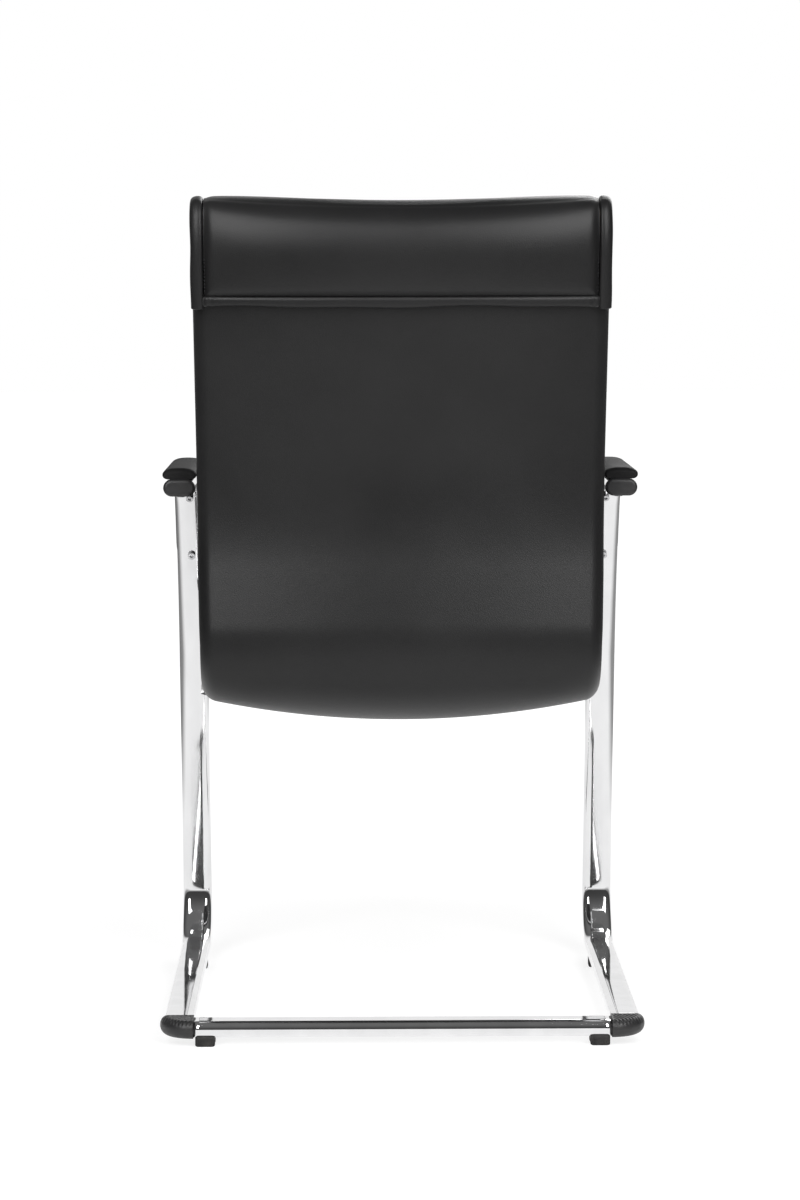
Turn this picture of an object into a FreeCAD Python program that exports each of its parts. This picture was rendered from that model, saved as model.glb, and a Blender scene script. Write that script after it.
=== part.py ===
import FreeCAD
import Part
import Sketcher
import math
import os
from collections import namedtuple

# A cantilever visitor chair in millimetres: the floor is z = 0, the sitter faces -Y, left is +X.
# Two bent flat-oval tubes carry a bent plywood shell, upholstered on both sides, with a padded
# hood over its top and padded arms.

Vector = FreeCAD.Vector
Constraint = Sketcher.Constraint
doc = FreeCAD.newDocument("CantileverChair")

DIMENSIONS = [
    ("clearance", 0.3, "gap left between pieces that touch"),
    ("tubeWidth", 38, "flat-oval frame tube, wide way"),
    ("tubeHeight", 20, "flat-oval frame tube, narrow way"),
    ("tubeWall", 2, "wall of every frame tube"),
    ("sideSpacing", 532, "between the centre planes of the side tubes"),
    ("baseLength", 590, "front bend to rear cross bar, outside"),
    ("glideHeight", 10, "floor to the underside of the runners"),
    ("bendRadius", 70, "front bend, centre line"),
    ("uprightLean", 10, "degrees that the upright leans back"),
    ("uprightLength", 312, "straight part of the upright"),
    ("sweepRadius", 560, "gentle curve above the upright, centre line"),
    ("sweepAngle", 23, "degrees of that curve"),
    ("armBendRadius", 70, "bend from the upright into the arm, centre line"),
    ("armLength", 225, "straight part of the arm"),
    ("cornerProud", 2.5, "how far a corner connector stands outside the tubes"),
    ("cornerRadius", 36, "outer corner of a connector"),
    ("cornerOver", 1, "how far a connector stands above and below the tubes"),
    ("tongueLength", 40, "connector tongue inside a tube"),
    ("glideWidth", 23.5, "glide along its tube"),
    ("glideDepth", 34, "glide across its tube"),
    ("glideLip", 4, "how far a glide reaches up the tube's sides"),
    ("glideRound", 2, "rounded lower edge of a glide"),
    ("pegRadius", 4, "peg on a glide"),
    ("pegHeight", 9, "peg inside the tube"),
    ("rearGlideInset", 14, "rear glides, in from the ends of the cross bar"),
    ("frontGlideBack", 28, "front glides, behind the start of the front bend"),
    ("capHead", 5, "arm end cap outside the tube"),
    ("capPlug", 18, "arm end cap inside the tube"),
    ("capRound", 3, "rounded edge of an arm end cap"),
    ("coreWidth", 30, "stiffener inside an arm pad"),
    ("coreThickness", 5, "stiffener thickness"),
    ("coreInset", 12, "stiffener end to pad end"),
    ("padWidth", 41, "arm pad, widest"),
    ("padThickness", 13.5, "arm pad above the tube"),
    ("padShoulder", 6.5, "height of the arm pad's sides below its crown"),
    ("padEndLean", 22.8, "lean of the tube where the pad ends, degrees"),
    ("padEndTaper", 14, "rounded length at a pad's end"),
    ("screwRadius", 2.3, "arm pad screw shank"),
    ("screwHeadRadius", 4.75, "arm pad screw head"),
    ("screwHeadHeight", 3.6, "arm pad screw head"),
    ("lowScrewLean", 24.7, "lean of the tube at the lower pad screw, degrees"),
    ("highScrewLean", 42.5, "lean of the tube at the upper pad screw, degrees"),
    ("rearScrewInset", 45, "rear pad screw from the end of the arm tube"),
    ("crossTubeZ", 370, "seat cross tube, centre height"),
    ("railX", 140, "seat rails, from the middle"),
    ("railWidth", 30, "seat rail"),
    ("railThickness", 8, "seat rail"),
    ("railFront", 60, "seat rail in front of the cross tube"),
    ("railRear", 200, "seat rail behind the cross tube"),
    ("boltInset", 20, "seat bolt to the end of its rail"),
    ("boltRadius", 3, "seat bolt"),
    ("boltHeadRadius", 5.5, "seat bolt head"),
    ("boltHeadHeight", 4.5, "seat bolt head"),
    ("washerRadius", 8, "seat bolt washer"),
    ("washerThickness", 1.6, "seat bolt washer"),
    ("nutFlangeRadius", 10, "tee nut flange"),
    ("nutFlange", 1.5, "tee nut flange thickness"),
    ("nutBarrelRadius", 4.5, "tee nut barrel"),
    ("nutBarrel", 8, "tee nut barrel length"),
    ("shellGap", 7, "between the shell and the side tubes"),
    ("dishDepth", 26, "how far the shell's sides curl in"),
    ("seatOverhang", 53, "shell in front of the cross tube"),
    ("seatPitch", 4, "degrees that the seat falls to the rear"),
    ("seatRun", 400, "straight part of the seat"),
    ("seatBendRadius", 110, "outer skin where seat turns into back"),
    ("backTuck", 9, "degrees past upright above that bend"),
    ("tuckRun", 70, "straight part above the bend"),
    ("lumbarRadius", 320, "outer skin at the lumbar hollow"),
    ("backRecline", 15, "degrees that the upper back reclines"),
    ("backRun", 285, "straight upper back"),
    ("rearCover", 10, "padded cover on the outside of the shell"),
    ("plywood", 12, "bent plywood"),
    ("leather", 2, "front covers and headrest cover"),
    ("seatPad", 60, "seat foam at its crown"),
    ("seatPadEdge", 33, "seat foam at its sides"),
    ("seatNose", 24, "rounded nose in front of the shell"),
    ("backPad", 45, "back foam at its crown"),
    ("backPadEdge", 20, "back foam at its sides"),
    ("creaseGap", 0.6, "degrees between seat and back foam"),
    ("hoodDrop", 92, "headrest hood down from the top of the back"),
    ("hoodRear", 8, "headrest foam behind the back"),
    ("hoodFront", 22, "headrest foam in front of the back"),
    ("hoodRise", 8, "headrest foam over the top of the back"),
    ("hoodSwell", 6, "how far the hood's panels swell at their middle"),
    ("hoodSwellEdge", 1.5, "and at their sides"),
    ("hemHeight", 12, "rolled hem under the hood"),
    ("hemRoll", 3, "how far the hem's roll stands out"),
    ("gusset", 4, "side strips of the hood"),
]

PLACES = [
    ("sideX", "=dims.sideSpacing / 2"),
    ("tubeZ", "=dims.glideHeight + dims.tubeHeight / 2"),
    ("rearY", "=dims.baseLength / 2"),
    ("runnerEndY", "=dims.baseLength / 2 - dims.tubeWidth"),
    ("barY", "=dims.baseLength / 2 - dims.tubeWidth / 2"),
    ("barEndX", "=dims.sideSpacing / 2 - dims.tubeWidth / 2"),
    ("innerWidth", "=dims.tubeWidth - 2 * dims.tubeWall"),
    ("innerHeight", "=dims.tubeHeight - 2 * dims.tubeWall"),
    ("tongueWidth", "=innerWidth - 2 * dims.clearance"),
    ("tongueHeight", "=innerHeight - 2 * dims.clearance"),
    ("bendY", "=dims.bendRadius + dims.tubeHeight / 2 - dims.baseLength / 2"),
    ("bendZ", "=tubeZ + dims.bendRadius"),
    ("uprightY", "=bendY - dims.bendRadius * cos(dims.uprightLean)"),
    ("uprightZ", "=bendZ + dims.bendRadius * sin(dims.uprightLean)"),
    ("uprightTopY", "=uprightY + dims.uprightLength * sin(dims.uprightLean)"),
    ("uprightTopZ", "=uprightZ + dims.uprightLength * cos(dims.uprightLean)"),
    ("sweepY", "=uprightTopY + dims.sweepRadius * cos(dims.uprightLean)"),
    ("sweepZ", "=uprightTopZ - dims.sweepRadius * sin(dims.uprightLean)"),
    ("topLean", "=dims.uprightLean + dims.sweepAngle"),
    ("armBendY", "=sweepY - (dims.sweepRadius - dims.armBendRadius) * cos(topLean)"),
    ("armBendZ", "=sweepZ + (dims.sweepRadius - dims.armBendRadius) * sin(topLean)"),
    ("armZ", "=armBendZ + dims.armBendRadius"),
    ("armRear", "=armBendY + dims.armLength"),
    ("crossY", "=uprightY + (dims.crossTubeZ - uprightZ) * tan(dims.uprightLean)"),
    ("seatFront", "=crossY - dims.seatOverhang"),
    ("shellHalfWidth", "=barEndX - dims.shellGap"),
    ("rearGlideX", "=barEndX - dims.rearGlideInset"),
    ("coreOffset", "=dims.tubeHeight / 2 + dims.clearance + dims.coreThickness / 2"),
    ("coreRearY", "=armRear + dims.capHead - dims.coreInset"),
    ("coreEndLean", "=dims.padEndLean + dims.coreInset / dims.sweepRadius * 180 / pi"),
    ("frontGlideY", "=bendY + dims.frontGlideBack"),
]


def makeSheet(name, rows):
    sheet = doc.addObject("Spreadsheet::Sheet", name)
    for number, row in enumerate(rows, 1):
        sheet.set("A%d" % number, row[0])
        sheet.set("B%d" % number, str(row[1]))
        sheet.setAlias("B%d" % number, row[0])
        if len(row) > 2:
            sheet.set("C%d" % number, row[2])
    return sheet


dims = makeSheet("dims", DIMENSIONS + [("originY", 0, "puts the middle of the chair's depth at Y = 0")])
places = makeSheet("places", PLACES)
doc.recompute()


def dim(alias):
    return float(dims.get(alias))


def place(alias):
    return float(places.get(alias))


clearance = dim("clearance")
subParts = []


def subPart(item, label, placement=None):
    item.Label = label
    if placement:
        item.Placement = placement
    subParts.append(item)
    return item


def sound(shape):
    return not shape.isNull() and shape.isValid() and shape.Solids


def bind(item, **expressions):
    for path, expression in expressions.items():
        item.setExpression(path.replace("__", "."), expression)
    return item


# Sketches

def newSketch(body, name, role, **offset):
    sketch = body.newObject("Sketcher::SketchObject", name)
    planes = {feature.Role: feature for feature in body.Origin.OriginFeatures}
    sketch.AttachmentSupport = [(planes[role], "")]
    sketch.MapMode = "FlatFace"
    for axis, expression in offset.items():
        sketch.setExpression("AttachmentOffset.Base." + axis, expression)
    return sketch


def limit(sketch, expression, kind, *references):
    value = sketch.evalExpression(expression)
    if kind == "Angle":
        value = math.radians(value)
    number = sketch.addConstraint(Constraint(kind, *references, value))
    sketch.setExpression("Constraints[%d]" % number, expression)


def addOval(sketch, width, height):
    half = sketch.evalExpression(height) / 2
    reach = sketch.evalExpression(width) / 2 - half
    axis = Vector(0, 0, 1)
    quarter = math.pi / 2
    rightCircle = Part.Circle(Vector(reach, 0), axis, half)
    leftCircle = Part.Circle(Vector(-reach, 0), axis, half)
    right = sketch.addGeometry(Part.ArcOfCircle(rightCircle, -quarter, quarter))
    top = sketch.addGeometry(Part.LineSegment(Vector(reach, half), Vector(-reach, half)))
    left = sketch.addGeometry(Part.ArcOfCircle(leftCircle, quarter, 3 * quarter))
    bottom = sketch.addGeometry(Part.LineSegment(Vector(-reach, -half), Vector(reach, -half)))
    ring = [right, top, left, bottom]
    for first, second in zip(ring, ring[1:] + ring[:1]):
        sketch.addConstraint(Constraint("Tangent", first, 2, second, 1))
    sketch.addConstraint(Constraint("Horizontal", top))
    sketch.addConstraint(Constraint("Horizontal", bottom))
    sketch.addConstraint(Constraint("Symmetric", right, 3, left, 3, -1, 1))
    limit(sketch, "(%s) / 2" % height, "Radius", right)
    limit(sketch, "(%s) - (%s)" % (width, height), "DistanceX", left, 3, right, 3)


def addRectangle(sketch, width, height):
    x = sketch.evalExpression(width) / 2
    y = sketch.evalExpression(height) / 2
    corners = [Vector(-x, -y), Vector(x, -y), Vector(x, y), Vector(-x, y)]
    sides = [
        sketch.addGeometry(Part.LineSegment(start, end))
        for start, end in zip(corners, corners[1:] + corners[:1])
    ]
    for first, second in zip(sides, sides[1:] + sides[:1]):
        sketch.addConstraint(Constraint("Coincident", first, 2, second, 1))
    for side, way in zip(sides, ["Horizontal", "Vertical", "Horizontal", "Vertical"]):
        sketch.addConstraint(Constraint(way, side))
    sketch.addConstraint(Constraint("Symmetric", sides[0], 1, sides[1], 2, -1, 1))
    limit(sketch, width, "DistanceX", sides[0], 1, sides[0], 2)
    limit(sketch, height, "DistanceY", sides[1], 1, sides[1], 2)


def addArc(sketch, centreY, centreZ, radius, start, end):
    circle = Part.Circle(Vector(centreY, centreZ), Vector(0, 0, 1), radius)
    return sketch.addGeometry(Part.ArcOfCircle(circle, math.radians(start), math.radians(end)))


def join(sketch, first, firstEnd, second, secondEnd):
    sketch.addConstraint(Constraint("Tangent", first, firstEnd, second, secondEnd))


# Runner, front bend, upright, gentle curve, arm bend and arm, one after the other.
def addTubePath(body):
    sketch = newSketch(body, body.Name + "Path", "YZ_Plane")
    lean = dim("uprightLean")
    topLean = place("topLean")
    rear = Vector(place("runnerEndY"), place("tubeZ"))
    low = Vector(place("uprightY"), place("uprightZ"))
    high = Vector(place("uprightTopY"), place("uprightTopZ"))
    armStart = Vector(place("armBendY"), place("armZ"))
    armEnd = Vector(place("armRear"), place("armZ"))
    runner = sketch.addGeometry(Part.LineSegment(rear, Vector(place("bendY"), place("tubeZ"))))
    bend = addArc(sketch, place("bendY"), place("bendZ"), dim("bendRadius"), 180 - lean, 270)
    upright = sketch.addGeometry(Part.LineSegment(low, high))
    sweep = addArc(sketch, place("sweepY"), place("sweepZ"), dim("sweepRadius"), 180 - topLean, 180 - lean)
    armBend = addArc(sketch, place("armBendY"), place("armBendZ"), dim("armBendRadius"), 90, 180 - topLean)
    arm = sketch.addGeometry(Part.LineSegment(armStart, armEnd))
    join(sketch, runner, 2, bend, 2)
    join(sketch, bend, 1, upright, 1)
    join(sketch, upright, 2, sweep, 2)
    join(sketch, sweep, 1, armBend, 2)
    join(sketch, armBend, 1, arm, 1)
    sketch.addConstraint(Constraint("Horizontal", runner))
    sketch.addConstraint(Constraint("Horizontal", arm))
    limit(sketch, "places.runnerEndY", "DistanceX", -1, 1, runner, 1)
    limit(sketch, "places.tubeZ", "DistanceY", -1, 1, runner, 1)
    limit(sketch, "places.runnerEndY - places.bendY", "DistanceX", runner, 2, runner, 1)
    limit(sketch, "dims.bendRadius", "Radius", bend)
    limit(sketch, "90 + dims.uprightLean", "Angle", bend)
    limit(sketch, "dims.uprightLength", "Distance", upright)
    limit(sketch, "dims.sweepRadius", "Radius", sweep)
    limit(sketch, "dims.sweepAngle", "Angle", sweep)
    limit(sketch, "dims.armBendRadius", "Radius", armBend)
    limit(sketch, "places.armRear - places.armBendY", "DistanceX", arm, 1, arm, 2)
    return sketch


# The line of the arm's upper side, from its rear end over the bend and down the gentle curve.
def addArmPath(body, offset, rearY, endLean):
    sketch = newSketch(body, body.Name + "Path", "YZ_Plane")
    away = sketch.evalExpression(offset)
    topLean = place("topLean")
    lowLean = sketch.evalExpression(endLean)
    rear = Vector(sketch.evalExpression(rearY), place("armZ") + away)
    arm = sketch.addGeometry(Part.LineSegment(rear, Vector(place("armBendY"), place("armZ") + away)))
    bendRadius = dim("armBendRadius") + away
    bend = addArc(sketch, place("armBendY"), place("armBendZ"), bendRadius, 90, 180 - topLean)
    sweepRadius = dim("sweepRadius") + away
    sweep = addArc(sketch, place("sweepY"), place("sweepZ"), sweepRadius, 180 - topLean, 180 - lowLean)
    join(sketch, arm, 2, bend, 1)
    join(sketch, bend, 2, sweep, 1)
    sketch.addConstraint(Constraint("Horizontal", arm))
    limit(sketch, rearY, "DistanceX", -1, 1, arm, 1)
    limit(sketch, "places.armZ + " + offset, "DistanceY", -1, 1, arm, 1)
    limit(sketch, rearY + " - places.armBendY", "DistanceX", arm, 2, arm, 1)
    limit(sketch, "dims.armBendRadius + " + offset, "Radius", bend)
    limit(sketch, "90 - places.topLean", "Angle", bend)
    limit(sketch, "dims.sweepRadius + " + offset, "Radius", sweep)
    limit(sketch, "places.topLean - " + endLean, "Angle", sweep)
    return sketch


def addPipe(body, profile, path):
    pipe = body.newObject("PartDesign::AdditivePipe", body.Name + "Pipe")
    pipe.Profile = profile
    pipe.Spine = (path, [])
    return pipe


def addPad(body, profile, length, symmetric=False, reverse=False):
    pad = body.newObject("PartDesign::Pad", profile.Name + "Pad")
    pad.Profile = profile
    pad.Reversed = reverse
    if symmetric:
        pad.SideType = "Symmetric"
    return bind(pad, Length=length)


# Solids placed by a frame of their own

# A frame whose Z axis is normal and whose Y axis is along.
def frameAt(point, along, normal):
    across = along.cross(normal)
    return FreeCAD.Placement(point, FreeCAD.Rotation(across, along, normal, "ZYX"))


def cylinder(name, radius, height, base, placement):
    item = doc.addObject("Part::Cylinder", name)
    bind(item, Radius=radius, Height=height)
    lift = FreeCAD.Placement(Vector(0, 0, item.evalExpression(base)), FreeCAD.Rotation())
    item.Placement = placement.multiply(lift)
    return item


def compound(name, items):
    item = doc.addObject("Part::Compound", name)
    item.Links = items
    return item


def cut(name, base, tool):
    item = doc.addObject("Part::Cut", name)
    item.Base = base
    item.Tool = tool
    return item


def fuse(name, items):
    item = doc.addObject("Part::MultiFuse", name)
    item.Shapes = items
    return item


# Point, heading and outward side of the tube's centre line where it leans by this much.
def tubeFrame(side, lean):
    turned = math.radians(lean)
    if lean > place("topLean"):
        centreY, centreZ, radius = place("armBendY"), place("armBendZ"), dim("armBendRadius")
    else:
        centreY, centreZ, radius = place("sweepY"), place("sweepZ"), dim("sweepRadius")
    outward = Vector(0, -math.cos(turned), math.sin(turned))
    along = Vector(0, math.sin(turned), math.cos(turned))
    return frameAt(Vector(side * place("sideX"), centreY, centreZ) + outward * radius, along, outward)


def armFrame(side, y):
    return frameAt(Vector(side * place("sideX"), y, place("armZ")), Vector(0, 1, 0), Vector(0, 0, 1))


def padScrewFrames(side):
    return [
        tubeFrame(side, dim("lowScrewLean")),
        tubeFrame(side, dim("highScrewLean")),
        armFrame(side, place("armRear") - dim("rearScrewInset")),
    ]


def floorFrame(x, y, along):
    return frameAt(Vector(x, y, place("tubeZ")), along, Vector(0, 0, 1))


def glideFrames(side):
    bar = floorFrame(side * place("rearGlideX"), place("barY"), Vector(1, 0, 0))
    runner = floorFrame(side * place("sideX"), place("frontGlideY"), Vector(0, 1, 0))
    return {"rear": bar, "front": runner}


# Frame tubes

SCREW_HOLE = "dims.screwRadius + dims.clearance"
PEG_HOLE = "dims.pegRadius + dims.clearance"
BOLT_HOLE = "dims.boltRadius + dims.clearance"
THROUGH_TUBE = ("2 * dims.tubeHeight", "-dims.tubeHeight")
TUBE_FLOOR = ("dims.tubeHeight", "-dims.tubeHeight")


def makeSideTube(name, side):
    body = doc.addObject("PartDesign::Body", name + "Bent")
    path = addTubePath(body)
    section = newSketch(body, name + "Section", "XZ_Plane", y="places.tubeZ", z="-places.runnerEndY")
    addOval(section, "dims.tubeWidth", "dims.tubeHeight")
    addOval(section, "places.innerWidth", "places.innerHeight")
    addPipe(body, section, path)
    bind(body, Placement__Base__x="%d * places.sideX" % side)
    holes = [
        cylinder(name + "ScrewHole", SCREW_HOLE, *THROUGH_TUBE, frame)
        for frame in padScrewFrames(side)
    ]
    holes.append(cylinder(name + "PegHole", PEG_HOLE, *TUBE_FLOOR, glideFrames(side)["front"]))
    return subPart(cut(name + "Drilled", body, compound(name + "Holes", holes)), name)


def makeCrossBar():
    body = doc.addObject("PartDesign::Body", "barStraight")
    section = newSketch(body, "barSection", "YZ_Plane", x="places.barY", y="places.tubeZ")
    addOval(section, "dims.tubeWidth", "dims.tubeHeight")
    addOval(section, "places.innerWidth", "places.innerHeight")
    addPad(body, section, "2 * places.barEndX", symmetric=True)
    holes = [
        cylinder("barPegHole", PEG_HOLE, *TUBE_FLOOR, glideFrames(side)["rear"])
        for side in (1, -1)
    ]
    return subPart(cut("barDrilled", body, compound("barHoles", holes)), "rear_cross_bar")


# A block with one rounded outer corner and a tongue into each of the two tubes.
def makeConnector(name, side):
    body = doc.addObject("PartDesign::Body", name + "Block")
    block = newSketch(body, name + "Plan", "XY_Plane", z="dims.glideHeight - dims.cornerOver")
    inX = side * place("barEndX")
    outX = side * (place("sideX") + dim("tubeWidth") / 2 + dim("cornerProud"))
    frontY = place("runnerEndY")
    rearY = place("rearY") + dim("cornerProud")
    radius = dim("cornerRadius")
    middle = Vector(outX - side * radius, rearY - radius)
    diagonal = Vector(side * radius, radius) * math.sqrt(0.5)
    points = [
        Vector(outX - side * radius, rearY),
        Vector(inX, rearY),
        Vector(inX, frontY),
        Vector(outX, frontY),
        Vector(outX, rearY - radius),
    ]
    lines = [block.addGeometry(Part.LineSegment(a, b)) for a, b in zip(points, points[1:])]
    corner = block.addGeometry(Part.Arc(points[-1], middle + diagonal, points[0]))
    for first, second in zip(lines, lines[1:]):
        block.addConstraint(Constraint("Coincident", first, 2, second, 1))
    startsAtSide = block.getPoint(corner, 1).distanceToPoint(points[-1]) < radius / 2
    sideEnd, rearEnd = (1, 2) if startsAtSide else (2, 1)
    join(block, lines[-1], 2, corner, sideEnd)
    join(block, lines[0], 1, corner, rearEnd)
    for line, way in zip(lines, ["Horizontal", "Vertical", "Horizontal", "Vertical"]):
        block.addConstraint(Constraint(way, line))
    outer = "places.sideX + dims.tubeWidth / 2 + dims.cornerProud"
    ends = [(lines[1], 2, "places.barEndX"), (lines[3], 1, outer)]
    for line, end, expression in ends:
        order = [-1, 1, line, end] if side > 0 else [line, end, -1, 1]
        limit(block, expression, "DistanceX", *order)
    limit(block, "places.runnerEndY", "DistanceY", -1, 1, lines[1], 2)
    limit(block, "places.rearY + dims.cornerProud", "DistanceY", -1, 1, lines[1], 1)
    limit(block, "dims.cornerRadius", "Radius", corner)
    addPad(body, block, "dims.tubeHeight + 2 * dims.cornerOver")
    runner = {"x": "%d * places.sideX" % side, "y": "places.tubeZ", "z": "-places.runnerEndY"}
    along = newSketch(body, name + "RunnerTongue", "XZ_Plane", **runner)
    addOval(along, "places.tongueWidth", "places.tongueHeight")
    addPad(body, along, "dims.tongueLength")
    bar = {"x": "places.barY", "y": "places.tubeZ", "z": "%d * places.barEndX" % side}
    across = newSketch(body, name + "BarTongue", "YZ_Plane", **bar)
    addOval(across, "places.tongueWidth", "places.tongueHeight")
    addPad(body, across, "dims.tongueLength", reverse=side > 0)
    hole = cylinder(name + "PegHole", PEG_HOLE, *THROUGH_TUBE, glideFrames(side)["rear"])
    return subPart(cut(name + "Drilled", body, hole), name)


# A saddle under a tube, with a peg up into it. The frame's Y runs along the tube.
def makeGlide(name, frame):
    block = doc.addObject("Part::Box", name + "Block")
    bind(block, Length="dims.glideDepth", Width="dims.glideWidth")
    bind(block, Height="dims.glideHeight + dims.glideLip")
    corner = Vector(-dim("glideDepth") / 2, -dim("glideWidth") / 2, -place("tubeZ"))
    block.Placement = frame.multiply(FreeCAD.Placement(corner, FreeCAD.Rotation()))
    doc.recompute()
    rounded = doc.addObject("Part::Fillet", name + "Rounded")
    rounded.Base = block
    low = [
        number for number, edge in enumerate(block.Shape.Edges, 1)
        if edge.BoundBox.ZMax < dim("glideRound") or edge.BoundBox.ZLength > dim("glideHeight")
    ]
    rounded.Edges = [(number, dim("glideRound"), dim("glideRound")) for number in low]
    body = doc.addObject("PartDesign::Body", name + "Tube")
    section = newSketch(body, name + "TubeSection", "XZ_Plane")
    addOval(section, "dims.tubeWidth + 2 * dims.clearance", "dims.tubeHeight + 2 * dims.clearance")
    addPad(body, section, "2 * dims.glideWidth", symmetric=True)
    body.Placement = frame
    saddle = cut(name + "Saddle", rounded, body)
    pegLength = "dims.glideLip + dims.tubeWall + dims.pegHeight"
    pegFoot = "-dims.tubeHeight / 2 - dims.glideLip"
    peg = cylinder(name + "Peg", "dims.pegRadius", pegLength, pegFoot, frame)
    return subPart(fuse(name + "Pegged", [saddle, peg]), name)


def makeEndCap(name, side):
    body = doc.addObject("PartDesign::Body", name + "Plug")
    head = newSketch(body, name + "HeadSection", "XZ_Plane", y="places.armZ", z="-places.armRear")
    addOval(head, "dims.tubeWidth", "dims.tubeHeight")
    headPad = addPad(body, head, "dims.capHead", reverse=True)
    doc.recompute()
    rearEdges = [
        "Edge%d" % number for number, edge in enumerate(headPad.Shape.Edges, 1)
        if edge.BoundBox.YMin > place("armRear") + dim("capHead") / 2
    ]
    rounding = body.newObject("PartDesign::Fillet", name + "Rounding")
    rounding.Base = (headPad, rearEdges)
    bind(rounding, Radius="dims.capRound")
    plug = newSketch(body, name + "PlugSection", "XZ_Plane", y="places.armZ", z="-places.armRear")
    addOval(plug, "places.tongueWidth", "places.tongueHeight")
    addPad(body, plug, "dims.capPlug")
    bind(body, Placement__Base__x="%d * places.sideX" % side)
    return subPart(body, name)


# Arms

def makePadCore(name, side):
    body = doc.addObject("PartDesign::Body", name + "Strip")
    path = addArmPath(body, "places.coreOffset", "places.coreRearY", "places.coreEndLean")
    rearEnd = {"y": "places.armZ + places.coreOffset", "z": "-places.coreRearY"}
    section = newSketch(body, name + "Section", "XZ_Plane", **rearEnd)
    addRectangle(section, "dims.coreWidth", "dims.coreThickness")
    addPipe(body, section, path)
    bind(body, Placement__Base__x="%d * places.sideX" % side)
    holes = [
        cylinder(name + "Hole", SCREW_HOLE, "dims.tubeHeight", "0", frame)
        for frame in padScrewFrames(side)
    ]
    return subPart(cut(name + "Drilled", body, compound(name + "Holes", holes)), name)


# The space for the stiffener, open towards the tube.
def makeCoreSpace(name, side):
    body = doc.addObject("PartDesign::Body", name)
    rearY = "(places.coreRearY + dims.clearance)"
    endLean = "(places.coreEndLean - dims.clearance / dims.sweepRadius * 180 / pi)"
    path = addArmPath(body, "places.coreOffset", rearY, endLean)
    rearEnd = {"y": "places.armZ + places.coreOffset", "z": "-" + rearY}
    section = newSketch(body, name + "Section", "XZ_Plane", **rearEnd)
    addRectangle(section, "dims.coreWidth + 2 * dims.clearance", "dims.coreThickness + 2 * dims.clearance")
    addPipe(body, section, path)
    bind(body, Placement__Base__x="%d * places.sideX" % side)
    return body


# Shares of an arm pad's width by which its sides draw in, and of a thin end that is below its crown.
PAD_DRAW = 0.06
PAD_SIDE = 0.5


# One cross-section of an arm pad: flat below, drawn-in sides and a crowned top.
def padSection(frame, width, thickness):
    half = width / 2
    floor = dim("tubeHeight") / 2 + clearance
    shoulder = min(dim("padShoulder"), thickness * PAD_SIDE)
    draw = width * PAD_DRAW
    flat = [Vector(-half + draw, 0, floor), Vector(half - draw, 0, floor)]
    belly = [Vector(half, 0, floor + shoulder / 2), Vector(-half, 0, floor + shoulder / 2)]
    edge = [Vector(half - draw, 0, floor + shoulder), Vector(-half + draw, 0, floor + shoulder)]
    crown = Vector(0, 0, floor + thickness)
    point = [frame.multVec(p) for p in flat + belly + edge + [crown]]
    edges = [
        Part.makeLine(point[0], point[1]),
        Part.Arc(point[1], point[2], point[4]).toShape(),
        Part.Arc(point[4], point[6], point[5]).toShape(),
        Part.Arc(point[5], point[3], point[0]).toShape(),
    ]
    return Part.Wire(edges)


# How far into its rounded end a pad section lies, with its share of the full width and thickness.
PAD_TIP = [(0, 0.8, 0.5), (0.15, 0.9, 0.72), (0.4, 0.97, 0.9), (1, 1, 1)]
BEND_SECTIONS = 14
SWEEP_SECTIONS = 6


# Sections from the rear end of the arm, over the bend, to the lower end, smaller at both ends.
def padLoft(side):
    width = dim("padWidth")
    thickness = dim("padThickness")
    taper = dim("padEndTaper")
    rear = place("armRear") + dim("capHead")
    topLean = place("topLean")
    endLean = dim("padEndLean")
    taperLean = math.degrees(taper / dim("sweepRadius"))
    sections = [
        padSection(armFrame(side, rear - taper * depth), width * wide, thickness * thick)
        for depth, wide, thick in PAD_TIP
    ]
    bendLeans = [90 - (90 - topLean) * part / BEND_SECTIONS for part in range(BEND_SECTIONS)]
    sweepRange = topLean - endLean - taperLean
    sweepLeans = [topLean - sweepRange * part / SWEEP_SECTIONS for part in range(SWEEP_SECTIONS)]
    sections += [padSection(tubeFrame(side, lean), width, thickness) for lean in bendLeans + sweepLeans]
    sections += [
        padSection(tubeFrame(side, endLean + taperLean * depth), width * wide, thickness * thick)
        for depth, wide, thick in PAD_TIP[::-1]
    ]
    return Part.makeLoft(sections, True, True)


def makeArmPad(name, side):
    filled = doc.addObject("Part::Feature", name + "Filled")
    filled.Shape = padLoft(side)
    return subPart(cut(name + "Hollow", filled, makeCoreSpace(name + "Space", side)), name)


# Shares of a head's radius and height that its hexagon socket takes.
SOCKET_RADIUS = 0.5
SOCKET_DEPTH = 0.55


def makeScrew(name, frame, radius, shank, base, headRadius, headHeight):
    head = cylinder(name + "Head", headRadius, headHeight, "(%s) - (%s)" % (base, headHeight), frame)
    stem = cylinder(name + "Stem", radius, shank, base, frame)
    whole = fuse(name + "Whole", [head, stem])
    socket = doc.addObject("Part::Prism", name + "Socket")
    socket.Polygon = 6
    bind(socket, Circumradius="%s * %s" % (headRadius, SOCKET_RADIUS))
    bind(socket, Height="%s * %s" % (headHeight, SOCKET_DEPTH))
    low = whole.evalExpression("(%s) - (%s)" % (base, headHeight))
    socket.Placement = frame.multiply(FreeCAD.Placement(Vector(0, 0, low), FreeCAD.Rotation()))
    return cut(name, whole, socket)


def makeArmScrews(name, side):
    base = "-dims.tubeHeight / 2 - dims.clearance"
    shank = "dims.tubeHeight + dims.clearance + dims.coreThickness"
    head = ("dims.screwHeadRadius", "dims.screwHeadHeight")
    screws = [
        makeScrew(name + str(number), frame, "dims.screwRadius", shank, base, *head)
        for number, frame in enumerate(padScrewFrames(side))
    ]
    return subPart(compound(name + "Group", screws), name)


# Shell: the outer skin at mid width is a chain of straight runs and turns in the YZ plane.

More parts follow.
